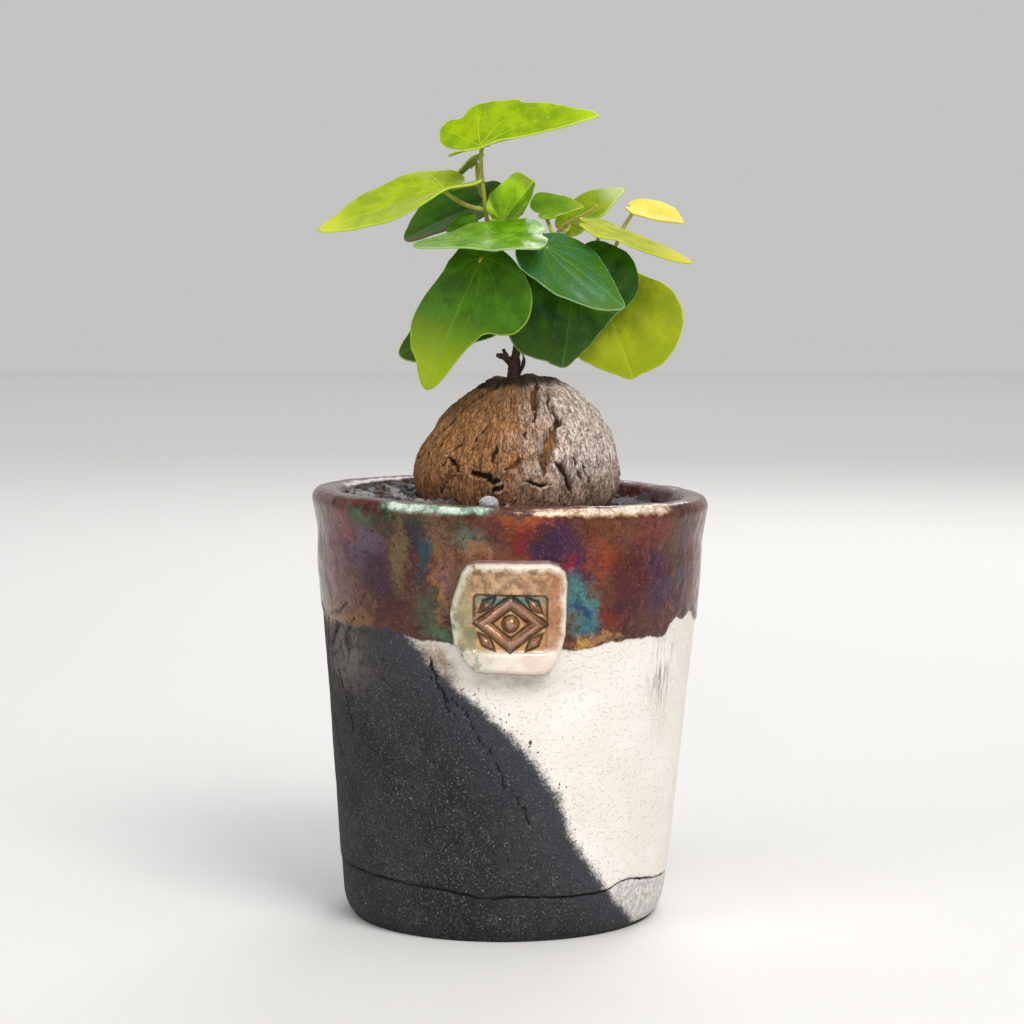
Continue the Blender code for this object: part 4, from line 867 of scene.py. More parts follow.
@dataclass(frozen=True)
class PadGlaze(Finish):
    """The pale side of the raku glaze: milky where it is thin on edges, tan and olive where it pools."""

    def draw(self, tree: bpy.types.NodeTree, shader: bpy.types.Node) -> None:
        """Milky edges, an olive-brown middle, dark grooves of pooled glaze with painted shade, and a teal line under
        the field's top edge.
        """
        where = add_node(tree, "TexCoord").outputs["Object"]
        fine = grain(tree, where, 0.5, Detail=4.0)
        medium = grain(tree, where, 2.2, Detail=5.0, Roughness=0.65)
        broad = grain(tree, where, 6.0, Detail=3.0)
        place = add_node(tree, "SeparateXYZ", {0: where})
        leftness = step(tree, combine(tree, "MULTIPLY_ADD", broad, 6 * MM, place.outputs[0]), 2 * MM, -7 * MM)
        milk = blend(tree, leftness, "#e8dacb", "#c4c4ae")
        blotched = combine(tree, "MULTIPLY", leftness, step(tree, medium, 0.5, 0.62, (0.0, 0.85)))
        milk = blend(tree, blotched, milk, "#5c6444")
        milk = blend(tree, step(tree, broad, 0.55, 0.7, (0.0, 0.45)), milk, "#d8b4a4")
        milk = blend(tree, step(tree, fine, 0.55, 0.75, (0.0, 0.3)), milk, "#a08c78")
        tan = blend(tree, step(tree, medium, 0.36, 0.64), "#c89f74", "#805c40")
        rusty = combine(tree, "MULTIPLY_ADD", medium, 6 * MM, place.outputs[0])
        rust = blend(tree, step(tree, fine, 0.35, 0.65), "#8c4a24", "#c08048")
        tan = blend(tree, step(tree, rusty, 9 * MM, 14 * MM, (0.0, 0.75)), tan, rust)
        tan = blend(tree, step(tree, fine, 0.5, 0.75, (0.0, 0.5)), tan, "#5e4026")
        leftwards = combine(tree, "MULTIPLY_ADD", place.outputs[0], -0.055 / MM, combine(tree, "MULTIPLY", broad, 2.0))
        olive = step(tree, leftwards, 0.9, 1.7)
        tan = blend(tree, combine(tree, "MULTIPLY", olive, 0.7), tan, "#75805a")
        depth = combine(tree, "MULTIPLY_ADD", medium, 3.2, marked(tree, "inset"))
        low = step(tree, place.outputs[2], 67 * MM, 64.6 * MM)
        pooled = combine(tree, "MULTIPLY", step(tree, depth, 1.9, 4.0), combine(tree, "SUBTRACT", 1.0, low))
        colour = blend(tree, pooled, milk, tan)
        inside = step(tree, marked(tree, "into"), 0.2, 1.0)
        floor = blend(tree, step(tree, medium, 0.4, 0.66), "#cc9c64", "#8c5c34")
        colour = blend(tree, combine(tree, "MULTIPLY", inside, 0.85), colour, floor)
        honey = combine(tree, "MULTIPLY", inside, step(tree, place.outputs[2], 67.2 * MM, 66.0 * MM, (0.0, 0.8)))
        colour = blend(tree, honey, colour, "#c48a30")
        teal = combine(tree, "MULTIPLY", inside, step(tree, place.outputs[2], 75.0 * MM, 76.8 * MM))
        colour = blend(tree, combine(tree, "MULTIPLY", teal, step(tree, medium, 0.3, 0.55)), colour, "#2f7f80")
        stroke = blend(tree, step(tree, medium, 0.4, 0.66), "#8a5e48", "#4e2e24")
        stroke = blend(tree, step(tree, marked(tree, "stamp"), 0.7, 1.0, (0.0, 0.6)), stroke, "#b88c70")
        raised = step(tree, marked(tree, "stamp"), 0.2, 0.7)
        colour = blend(tree, combine(tree, "MULTIPLY", raised, 0.9), colour, stroke)
        # Dark grooves: pooled glaze with painted shade, and a painted shadow line under the field's top edge
        groove = combine(tree, "MULTIPLY_ADD", fine, 0.25, marked(tree, "groove"))
        colour = blend(tree, step(tree, groove, 0.3, 1.05, (0.0, 0.9)), colour, "#2c190f")
        inset = combine(tree, "MULTIPLY_ADD", medium, 0.5, marked(tree, "inset"))
        purple = combine(tree, "MULTIPLY", step(tree, inset, 0.55, 0.2), step(tree, inset, -0.5, 0.0))
        colour = blend(tree, combine(tree, "MULTIPLY", purple, 0.8), colour, "#7a4a58")
        tree.links.new(colour, shader.inputs["Base Color"])
        tree.links.new(step(tree, medium, 0.3, 0.7, (0.12, 0.26)), shader.inputs["Roughness"])
        tree.links.new(combine(tree, "MULTIPLY_ADD", raised, 0.35, 0.1), shader.inputs["Metallic"])
        shader.inputs["Coat Weight"].default_value = 0.5
        shader.inputs["Coat Roughness"].default_value = 0.1
        bump = add_node(tree, "Bump", {"Strength": 0.35, "Distance": 0.2 * MM, "Height": medium})
        tree.links.new(bump.outputs[0], shader.inputs["Normal"])


# The caudex


@dataclass(frozen=True)
class Fissure:
    """A crack in the bark: its depth and half width, and its route of (azimuth, elevation) on the dome."""

    depth: float
    width: float
    route: tuple[Point, ...]
    lip: float = 0.3
    tail: float = 2.6


FRONT_FISSURES = (
    Fissure(2.2, 1.1, ((30, 70), (22, 60), (15, 48), (11, 34)), 0.3, 7.5),
    Fissure(1.2, 0.4, ((34, 58), (30, 50), (25, 45))),
    Fissure(2.4, 1.0, ((24, 48), (29, 42), (30, 35), (26, 28)), 0.4, 3.5),
    Fissure(1.5, 1.7, ((27, 32), (21, 22), (17, 14), (15, 4)), 0.1, 5.0),
    Fissure(1.7, 0.45, ((-45, 14), (-38, 9), (-33, 5), (-29, 7)), 0.35),
    Fissure(2.0, 0.62, ((-29, 7), (-24, 5), (-18, 3), (-13, 0), (-7, 1)), 0.45),
    Fissure(1.0, 0.7, ((-7, 0), (-11, -4), (-14, -8)), 0.4),
    Fissure(1.4, 0.75, ((-7, 7), (-2, 10), (5, 14)), 0.4),
    Fissure(1.6, 0.42, ((3, -0.5), (7, 0), (14, -2), (22, -0.5)), 0.6),
    Fissure(1.9, 0.7, ((21, 12), (26, 8), (29, 3), (30, -2), (33, -8)), 0.45),
    Fissure(0.9, 0.4, ((30, 25), (34, 21), (38, 17)), 0.1),
    Fissure(0.8, 0.5, ((-10, 22), (-13, 15), (-13, 9)), 0.1),
    Fissure(0.9, 0.45, ((34, 15), (37, 4), (46, -13))),
    Fissure(0.8, 0.4, ((39, 13), (42, 4), (50, -10))),
    Fissure(0.8, 0.45, ((63, 28), (65, 15))),
    Fissure(0.7, 0.35, ((-50, 30), (-56, 18), (-60, 4)), 0.1),
    Fissure(0.7, 0.3, ((-36, 4), (-44, -4), (-48, -12)), 0.3),
    Fissure(0.6, 0.3, ((50, 22), (54, 8), (56, -8)), 0.2),
    Fissure(0.6, 0.3, ((24, -6), (25, -12), (24, -16)), 0.3),
    Fissure(0.5, 0.28, ((-24, -4), (-22, -9), (-24, -14)), 0.3),
    Fissure(0.5, 0.26, ((-2, -6), (0, -10), (-1, -15)), 0.3),
    Fissure(0.9, 0.5, ((59, 8), (59, -6))),
    Fissure(1.3, 0.8, ((-20, 70), (-34, 60), (-50, 44), (-62, 28), (-68, 8)), 0.1),
    Fissure(0.5, 0.35, ((-18, 36), (-25, 25), (-29, 15)), 0.1),
    Fissure(0.5, 0.35, ((-33, 28), (-40, 17), (-48, 5)), 0.1),
    Fissure(0.5, 0.4, ((9, 34), (6, 27), (7, 20)), 0.1),
    Fissure(0.4, 0.35, ((-3, 60), (-4, 44)), 0.1),
)


@dataclass
class Caudex:
    """The half-buried corky dome, with its deep fissures, their torn lips and a fibrous skin."""

    centre: Point = (1.5, 0.0, 100.0)
    radius: float = 23.4
    rise: float = 23.7
    depth: float = 15.0
    slump: float = 4.2
    crown_dip: float = 2.2
    crown_width: float = 0.24
    columns: int = 440
    rings: int = 200
    front_share: float = 0.36
    upper_share: float = 0.62
    side_fissures: int = 34
    buried: float = -18.0

    def fissures(self) -> list[Fissure]:
        """The measured fissures of the front, and more of the same kind round the sides and back."""
        draw = random.Random(11)
        found = list(FRONT_FISSURES)
        for i in range(self.side_fissures):
            azimuth = 78 + 204 * (i + draw.uniform(0.2, 0.8)) / self.side_fissures
            top = draw.choice((72, 58, 44, 30, 18))
            length = draw.uniform(16, 40)
            slant = draw.uniform(-0.5, 0.5)
            route = tuple(
                (azimuth + slant * length * k / 5 + draw.uniform(-3, 3), top - length * k / 5) for k in range(6)
            )
            found.append(Fissure(draw.uniform(0.6, 1.9), draw.uniform(0.3, 0.75), route, draw.uniform(0.05, 0.4)))
        return found

    @staticmethod
    def way(azimuth: np.ndarray, elevation: np.ndarray) -> np.ndarray:
        """Unit vectors at azimuths and elevations in degrees."""
        a, e = np.radians(azimuth), np.radians(elevation)
        return np.column_stack((np.sin(a) * np.cos(e), -np.cos(a) * np.cos(e), np.sin(e)))

    def build(self, finish: Finish) -> bpy.types.Object:
        """Sink the fissures into a dome and mark what they show.

        Args:
            finish: The corky bark.

        Returns:
            The caudex as a piece.
        """
        skin, u, v = Skin.sheet("corky_dome", self.columns, self.rings)
        turn = (2 * u - 1) * math.pi
        azimuth = np.degrees(turn - self.front_share * np.sin(turn))
        skin.points = self.way(azimuth, 180 * v**self.upper_share - 90)
        skin.weld()
        way = skin.points
        azimuth = np.degrees(np.arctan2(way[:, 0], -way[:, 1]))
        elevation = np.degrees(np.arcsin(np.clip(way[:, 2], -1, 1)))
        spots = way * self.radius
        wander = np.column_stack([noise_at(spots, 3.2, seed, octaves=3) for seed in (3.0, 5.0, 8.0)])

        rough = noise_at(spots, 1.1, 12.0)
        sunk, lips, torn = np.zeros((3, len(way)))
        reached = elevation > self.buried
        for fissure in self.fissures():
            route = self.way(*np.array(fissure.route, float).T) * self.radius
            away = route_distance(spots[reached] + 0.7 * wander[reached], route) * (1 + 0.35 * rough[reached])
            ends = np.linalg.norm(spots[reached] - route[0], axis=1), np.linalg.norm(spots[reached] - route[-1], axis=1)
            taper = smoothstep(-0.3, fissure.tail, np.minimum(*ends)) * 0.8 + 0.2
            wide = fissure.width * taper
            cut = np.exp(-((away / wide) ** 4))
            sunk[reached] = np.maximum(sunk[reached], fissure.depth * cut * taper)
            lip = np.exp(-(((away - 1.3 * wide) / 0.24) ** 2)) * fissure.lip
            lips[reached] = np.maximum(lips[reached], lip)
            torn[reached] = np.maximum(torn[reached], cut)

        run = np.column_stack((np.cos(np.radians(azimuth)), np.sin(np.radians(azimuth)), np.radians(elevation)))
        run += 0.02 * wander
        fibres = 1 - np.abs(noise_at(run, (0.034, 0.034, 0.8), 1.0, octaves=3)) * 2.0
        plates = 1 - np.abs(noise_at(run, (0.14, 0.14, 0.55), 4.0, octaves=2)) * 2.6
        crumbs = noise_at(spots, 0.7, 2.0, octaves=2)
        coarse = smoothstep(0.1, 0.9, noise_at(spots, 9.0, 6.0) + 0.5)
        relief = 0.3 * np.clip(plates, 0, 1) ** 6 + (0.14 + 0.14 * coarse) * np.clip(fibres, 0, 1) ** 3
        relief += 0.14 * crumbs - 0.4 * lips
        across = np.hypot(way[:, 0], way[:, 1])
        rise = np.where(way[:, 2] > 0, self.rise, self.depth)
        reach = 1 / np.sqrt((across / self.radius) ** 2 + (way[:, 2] / rise) ** 2)
        slump = self.slump * np.maximum(0, -way[:, 0]) * np.maximum(0, way[:, 2])
        ripple = 0.5 * noise_at(way, 0.25) + 0.45 * noise_at(way * (9, 9, 3), 1.0)
        crown = np.where(way[:, 2] > 0, np.exp(-((across / self.crown_width) ** 2)), 0.0)
        crown *= 1 + 0.5 * noise_at(spots, 1.4, 9.0, octaves=2)
        length = reach - slump + ripple - sunk - relief - self.crown_dip * crown
        skin.points = np.array(self.centre) + way * length[:, None]
        around = np.radians(azimuth)
        skin.mark("run", np.column_stack((np.cos(around), np.sin(around), np.radians(elevation))) * self.radius * MM)
        skin.mark("torn", torn)
        skin.mark("lips", lips)
        skin.mark("fibres", np.clip(fibres, 0, 1) ** 3)
        skin.mark("plates", np.clip(plates, 0, 1) ** 5)
        skin.mark("crown", crown)
        skin.mark("side", way[:, 0])
        skin.mark("height", way[:, 2])
        gold = np.exp(-(((azimuth - 21) / 9) ** 2) - ((elevation - 19) / 12) ** 2)
        gold = np.maximum(gold, np.exp(-(((azimuth - 2) / 8) ** 2) - ((elevation - 9) / 4) ** 2))
        skin.mark("gold", np.maximum(gold, 0.6 * np.exp(-(((azimuth - 20) / 9) ** 2) - ((elevation - 52) / 12) ** 2)))
        return skin.piece(["caudex"], Slot.BARK, finish)


@dataclass(frozen=True)
class CorkyBark(Finish):
    """Corky bark of a caudex: dull, fibrous down the dome, tan to grey with painted light on the grey right side, dark
    in its cracks and pale on torn lips.
    """

    grain_width: float = 0.4

    def draw(self, tree: bpy.types.NodeTree, shader: bpy.types.Node) -> None:
        """Colour the skin by side and height, with painted light on the right and painted shade on the upper left, then
        its fibres, cracks, lips and crown.
        """
        where = add_node(tree, "TexCoord").outputs["Object"]
        run = marked(tree, "run", "Vector")
        fine = grain(tree, where, self.grain_width, Detail=5.0, Roughness=0.7)
        medium = grain(tree, where, 3.0, Detail=5.0, Roughness=0.65)
        streaks = grain(tree, run, 0.4, stretch=(1, 1, 4), Detail=5.0, Roughness=0.65)
        side = combine(tree, "MULTIPLY_ADD", medium, 0.7, marked(tree, "side"))
        tan = blend(tree, step(tree, streaks, 0.32, 0.68), "#b0743e", "#cf9860")
        tan = blend(tree, step(tree, medium, 0.35, 0.7, (0.0, 0.5)), tan, "#b08058")
        # The right side is grey-pink bark, painted paler still as the side the light falls on
        grey = blend(tree, step(tree, streaks, 0.32, 0.6), "#ecc6b2", "#fff8f0")
        grey_bark_and_lit_side = step(tree, side, 0.12, 0.98)
        colour = blend(tree, grey_bark_and_lit_side, tan, grey)
        top = combine(tree, "MULTIPLY_ADD", medium, 0.4, marked(tree, "height"))
        olive = combine(tree, "MULTIPLY", step(tree, top, 0.75, 1.1), step(tree, side, 0.8, 0.2))
        colour = blend(tree, combine(tree, "MULTIPLY", olive, 0.7), colour, "#7c5c28")
        colour = blend(tree, step(tree, top, 0.42, 0.0, (0.0, 0.75)), colour, "#a2704c")
        shade = blend(tree, grey_bark_and_lit_side, "#5a3820", "#a07e6e")
        colour = blend(tree, step(tree, fine, 0.42, 0.75, (0.0, 0.45)), colour, shade)
        colour = blend(tree, combine(tree, "MULTIPLY", marked(tree, "fibres"), 0.35), colour, shade)
        colour = blend(tree, combine(tree, "MULTIPLY", marked(tree, "plates"), 0.45), colour, "#3c2410")
        colour = blend(tree, step(tree, fine, 0.38, 0.28, (0.0, 0.4)), colour, "#e4bc92")
        threads = ridged(tree, grain(tree, run, 0.8, stretch=(1, 1, 3.5), Detail=5.0, Roughness=0.6), 0.035, 0.75)
        net = ridged(tree, grain(tree, run, 2.0, stretch=(1, 1, 1.6), Detail=6.0, Roughness=0.68), 0.02, 0.7)
        lines = combine(tree, "MAXIMUM", threads, net)
        colour = blend(tree, lines, colour, blend(tree, grey_bark_and_lit_side, "#40281a", "#6e5446"))
        gold = combine(tree, "MULTIPLY", marked(tree, "gold"), step(tree, marked(tree, "torn"), 0.15, 0.8))
        torn = step(tree, combine(tree, "MULTIPLY_ADD", fine, 0.3, marked(tree, "torn")), 0.4, 1.0, (0.0, 0.92))
        ochre = blend(tree, step(tree, streaks, 0.35, 0.65), "#6a4018", "#b07a3c")
        colour = blend(tree, torn, colour, blend(tree, gold, "#2e1a0c", ochre))
        broken = combine(tree, "MULTIPLY_ADD", medium, 0.9, marked(tree, "lips"))
        colour = blend(tree, step(tree, broken, 0.72, 0.98, (0.0, 0.75)), colour, "#dcbe9c")
        # Painted shade: the upper left of the dome darkened
        shaded = combine(tree, "MULTIPLY", step(tree, side, 0.1, -0.35), step(tree, top, 0.7, 0.95, (0.0, 0.6)))
        colour = blend(tree, shaded, colour, "#4a2e18")
        near_top = combine(tree, "MULTIPLY_ADD", medium, 0.12, marked(tree, "height"))
        crown = step(tree, combine(tree, "MULTIPLY_ADD", fine, 0.05, near_top), 0.945, 1.01, (0.0, 0.92))
        colour = blend(tree, crown, colour, "#1d100a")
        tree.links.new(colour, shader.inputs["Base Color"])
        shader.inputs["Roughness"].default_value = 0.8
        shader.inputs["Specular IOR Level"].default_value = 0.3
        height = combine(tree, "MULTIPLY_ADD", lines, -1.0, combine(tree, "MULTIPLY_ADD", streaks, 0.6, fine))
        bump = add_node(tree, "Bump", {"Strength": 0.9, "Distance": 0.4 * MM, "Height": height})
        tree.links.new(bump.outputs[0], shader.inputs["Normal"])


# The substrate


@dataclass
class GritBed:
    """Black bark and lava grit: a bed that fills the pot, with loose angular pieces heaped on it."""

    level: float = 93.6
    slope: float = 0.065
    count: int = 900
    sizes: Point = (1.5, 4.6)
    wall: float = 38.0
    dome: float = 23.6
    middle: float = 1.5
    shapes: int = 16
    # (radius, height, parts) from the dome's foot outwards, down inside the wall and back under the dome
    section: tuple[Point, ...] = (
        (24.4, 93.6, 10), (37.6, 93.6, 2), (36.8, 80.0, 4), (31.8, 13.0, 2), (30.9, 9.5, 1), (27.7, 7.3, 3),
        (0.0, 7.3, 1), (0.0, 83.6, 3), (15.0, 86.2, 3), (22.0, 91.0, 1),
    )

    def surface(self, x: np.ndarray, y: np.ndarray) -> np.ndarray:
        """The mean height of the bed at a place: higher on the left."""
        places = np.column_stack((x / 7, y / 7, np.full(len(x), 0.3)))
        return self.level - self.slope * x + 0.5 * noise_at(places, 1.0)

    def bed(self) -> bmesh.types.BMesh:
        """The fill, spun from its section."""
        rows = []
        for (r0, z0, parts), (r1, z1, _) in zip(self.section, self.section[1:] + self.section[:1]):
            rows += [(r0 + (r1 - r0) * k / parts, z0 + (z1 - z0) * k / parts) for k in range(int(parts))]
        bm = bmesh.new()
        ring = [bm.verts.new((r, 0.0, z)) for r, z in rows]
        edges = [bm.edges.new((a, b)) for a, b in zip(ring, ring[1:] + ring[:1])]
        bmesh.ops.spin(bm, geom=ring + edges, cent=(0, 0, 0), axis=(0, 0, 1), angle=math.tau, steps=96, use_merge=True)
        bmesh.ops.remove_doubles(bm, verts=bm.verts, dist=0.001)
        bmesh.ops.recalc_face_normals(bm, faces=bm.faces)
        return bm

    def stone(self, draw: random.Random) -> bpy.types.Mesh:
        """One angular piece about 1 across: a ball with flats cut off it."""
        bm = bmesh.new()
        bmesh.ops.create_icosphere(bm, subdivisions=1, radius=0.62)
        for _ in range(5):
            face = Vector((draw.gauss(0, 1), draw.gauss(0, 1), draw.gauss(0, 1))).normalized()
            parts = [*bm.verts, *bm.edges, *bm.faces]
            place = face * draw.uniform(0.28, 0.45)
            bmesh.ops.bisect_plane(bm, geom=parts, plane_co=place, plane_no=face, clear_outer=True)
            bmesh.ops.holes_fill(bm, edges=[e for e in bm.edges if e.is_boundary])
        bmesh.ops.scale(bm, vec=(1.35, draw.uniform(0.8, 1.1), draw.uniform(0.5, 0.8)), verts=bm.verts)
        bmesh.ops.recalc_face_normals(bm, faces=bm.faces)
        mesh = bpy.data.meshes.new("stone")
        bm.to_mesh(mesh)
        bm.free()
        return mesh

    def build(self, finish: Finish) -> bpy.types.Object:
        """Heap the pieces on the bed.

        Args:
            finish: The grit.

        Returns:
            The bed as a piece.
        """
        draw = random.Random(4)
        stones = [self.stone(draw) for _ in range(self.shapes)]
        bm = self.bed()
        tints = [np.zeros(len(bm.verts))]
        for vertex in bm.verts:
            if vertex.co.z > self.level - 1:
                lift = float(self.surface(np.array([vertex.co.x]), np.array([vertex.co.y]))[0])
                vertex.co.z += lift - self.level - 0.9
        for i in range(self.count):
            size = self.sizes[0] + (self.sizes[1] - self.sizes[0]) * draw.random() ** 1.6
            angle = i * math.tau * 0.381966 + draw.uniform(-0.2, 0.2)
            share = (i + 0.5) / self.count + draw.uniform(-0.02, 0.02)
            inner, outer = self.dome + 0.42 * size, self.wall - 0.62 * size
            radius = math.sqrt(inner**2 + (outer**2 - inner**2) * min(max(share, 0.0), 1.0))
            x = self.middle * (1 - share) + radius * math.cos(angle)
            y = radius * math.sin(angle)
            z = float(self.surface(np.array([x]), np.array([y]))[0]) - 0.5 + draw.uniform(-0.7, 0.9)
            lean = Matrix.Rotation(draw.gauss(0, 0.5), 4, "X") @ Matrix.Rotation(draw.gauss(0, 0.5), 4, "Y")
            turn = Matrix.Rotation(draw.uniform(0, math.tau), 4, "Z") @ lean
            piece = draw.choice(stones).copy()
            piece.transform(Matrix.Translation((x, y, z)) @ turn @ Matrix.Scale(size, 4))
            bm.from_mesh(piece)
            tints.append(np.full(len(piece.vertices), 0.15 + 0.85 * draw.random()))
            bpy.data.meshes.remove(piece)
        skin = Skin("grit_bed", bm)
        skin.mark("tint", np.concatenate(tints))
        for mesh in stones:
            bpy.data.meshes.remove(mesh)
        return skin.piece(["substrate"], Slot.GRIT, finish, crease=25.0)


@dataclass(frozen=True)
class BlackGrit(Finish):
    """Charred bark and lava grit: nearly black, dusty, with a few greyer pieces."""

    def draw(self, tree: bpy.types.NodeTree, shader: bpy.types.Node) -> None:
        """Tint each piece, dust it and roughen it."""
        where = add_node(tree, "TexCoord").outputs["Object"]
        fine = grain(tree, where, 0.5, Detail=4.0)
        medium = grain(tree, where, 2.0, Detail=4.0)
        tint = combine(tree, "MULTIPLY_ADD", medium, 0.3, marked(tree, "tint"))
        ramp = add_node(
            tree, "ValToRGB", {0: tint}, [(0.0, "#151414"), (0.4, "#2b2a2c"), (0.8, "#4f4d50"), (1.0, "#858180")]
        )
        dusty = step(tree, fine, 0.45, 0.75, (0.0, 0.3))
        tree.links.new(blend(tree, dusty, ramp.outputs[0], "#77726e"), shader.inputs["Base Color"])
        shader.inputs["Roughness"].default_value = 0.75
        bump = add_node(tree, "Bump", {"Strength": 0.8, "Distance": 0.3 * MM, "Height": fine})
        tree.links.new(bump.outputs[0], shader.inputs["Normal"])


@dataclass
class LooseBits:
    """A pale pebble and a bit of dry twig that lie on the grit at the front."""

    pebble: Point = (-4.4, -28.6, 96.2)
    twig: tuple[Point, ...] = ((-27.5, -14.0, 96.3, 0.28), (-28.6, -14.4, 97.6, 0.24), (-29.6, -14.4, 98.8, 0.14))

    def build(self, stone: Finish, bark: Finish) -> None:
        """Make the pebble and the twig.

        Args:
            stone: The pebble's finish.
            bark: The twig's finish.
        """
        bm = bmesh.new()
        bmesh.ops.create_icosphere(bm, subdivisions=3, radius=1.9)
        bmesh.ops.scale(bm, vec=(1.15, 0.9, 0.75), verts=bm.verts)
        skin = Skin("pale_pebble", bm)
        skin.points = skin.points * (1 + 0.12 * noise_at(skin.points, 1.6))[:, None] + np.array(self.pebble)
        skin.mark("tint", np.full(len(skin.mesh.vertices), 1.0))
        skin.piece(["substrate"], Slot.GRIT, stone)
        Skin("dry_twig", stalk(curve_through(self.twig, 3), 8)).piece(["substrate"], Slot.GRIT, bark)


@dataclass(frozen=True)
class PaleStone(Finish):
    """A bit of pumice: light grey and chalky."""

    def draw(self, tree: bpy.types.NodeTree, shader: bpy.types.Node) -> None:
        """Grey with a fine grain."""
        where = add_node(tree, "TexCoord").outputs["Object"]
        fine = grain(tree, where, 0.4, Detail=4.0)
        tree.links.new(blend(tree, step(tree, fine, 0.35, 0.7), "#8d8c90", "#c9c8c8"), shader.inputs["Base Color"])
        shader.inputs["Roughness"].default_value = 0.8
        bump = add_node(tree, "Bump", {"Strength": 0.5, "Distance": 0.15 * MM, "Height": fine})
        tree.links.new(bump.outputs[0], shader.inputs["Normal"])


# The vine


def stalk(route: Sequence[Point], sides: int) -> bmesh.types.BMesh:
    """A closed round stalk.

    Args:
        route: Rows of (x, y, z, radius).
        sides: How many sides it has.

    Returns:
        The shape.
    """
    bm = bmesh.new()
    places = [Vector(row[:3]) for row in route]
    side = (places[1] - places[0]).orthogonal().normalized()
    rings = []
    for i, place in enumerate(places):
        ahead = (places[min(i + 1, len(places) - 1)] - places[max(i - 1, 0)]).normalized()
        side = (side - ahead * side.dot(ahead)).normalized()
        frame_here = Matrix((side, ahead.cross(side), ahead)).transposed().to_4x4()
        frame_here.translation = place
        made = bmesh.ops.create_circle(bm, segments=sides, radius=route[i][3], matrix=frame_here)
        ring = set(made["verts"])
        rings.append([e for v in ring for e in v.link_edges if set(e.verts) <= ring])
    for near, far in zip(rings, rings[1:]):
        bmesh.ops.bridge_loops(bm, edges=list({*near, *far}))
    bmesh.ops.holes_fill(bm, edges=[e for e in bm.edges if e.is_boundary])
    bmesh.ops.recalc_face_normals(bm, faces=bm.faces)
    return bm


@dataclass
class Vine:
    """The stems: a short woody foot in the crown, two thin twining stems, a side shoot and dry stubs."""

    sides: int = 14
    # Rows of (x, y, z, radius)
    stems: dict[str, tuple[Point, ...]] = field(default_factory=lambda: {
        "main": (
            (1.0, 0.0, 120.0, 1.9), (1.0, 0.0, 122.6, 1.6), (1.2, 0.0, 125.5, 1.3), (1.6, 0.3, 128.5, 0.95),
            (2.4, 1.4, 134.0, 0.7), (1.2, 2.2, 141.0, 0.65), (-2.4, 2.0, 147.5, 0.6), (-4.4, 1.2, 154.0, 0.55),
            (-5.4, 0.8, 160.0, 0.5), (-6.0, 0.4, 166.0, 0.48),
        ),
        "right": (
            (1.7, 0.5, 130.0, 0.7), (2.4, 1.2, 132.6, 0.66), (4.6, 2.6, 137.5, 0.62), (7.0, 3.4, 143.6, 0.58),
            (9.0, 3.0, 150.0, 0.52), (11.5, 2.4, 155.8, 0.42), (15.6, 1.8, 158.4, 0.34), (19.0, 1.5, 160.3, 0.32),
            (19.5, 1.5, 160.7, 0.5), (19.9, 1.5, 161.0, 0.3),
        ),
        "side": (
            (9.0, 3.0, 150.2, 0.46), (14.0, 5.4, 149.4, 0.46), (19.5, 7.5, 149.4, 0.46), (23.6, 8.4, 150.8, 0.44),
            (25.6, 8.6, 155.4, 0.4),
        ),
        "left_stub": ((1.2, 0.0, 124.8, 1.0), (-0.8, -0.6, 126.6, 0.85), (-2.0, -0.9, 127.1, 0.6), (-3.0, -1.0, 127.4, 0.5)),
        "fork": ((-0.4, -0.5, 126.3, 0.7), (-1.0, 0.0, 127.6, 0.5), (-1.4, 0.2, 128.6, 0.4)),
        "left_arm": ((-5.9, 1.2, 165.0, 0.42), (-6.6, 4.4, 165.8, 0.4), (-9.6, 6.2, 165.6, 0.4), (-13.2, 6.6, 164.7, 0.34)),
        "thin_twig": ((2.2, -0.4, 123.0, 0.4), (3.2, -0.4, 126.0, 0.3), (2.9, -0.3, 128.3, 0.2)),
        "scar_right": ((2.6, -1.2, 121.6, 1.1), (5.0, -1.5, 122.2, 1.0), (7.4, -1.4, 121.7, 0.6)),
        "scar_left": ((-0.4, -1.4, 121.4, 1.0), (-3.0, -1.6, 121.7, 0.9), (-5.2, -1.2, 120.9, 0.5)),
    })

    def build(self, finish: Finish) -> bpy.types.Object:
        """Sweep the stems, roughen the woody parts and mark how old each point is.

        Args:
            finish: The stems' bark.

        Returns:
            The vine as a piece.
        """
        whole = bmesh.new()
        for route in self.stems.values():
            part = stalk(curve_through(route, 6), self.sides)
            mesh = bpy.data.meshes.new("stem")
            part.to_mesh(mesh)
            part.free()
            whole.from_mesh(mesh)
            bpy.data.meshes.remove(mesh)
        skin = Skin("twining_stems", whole)
        points = skin.points
        age = smoothstep(136.0, 124.0, points[:, 2])
        bumps = 0.35 * age * noise_at(points, 1.3, octaves=2) + 0.05 * noise_at(points, 1.0, 4.0)
        skin.points = points + skin.normals * bumps[:, None]
        skin.mark("age", age)
        return skin.piece(["vine"], Slot.STEM, finish)


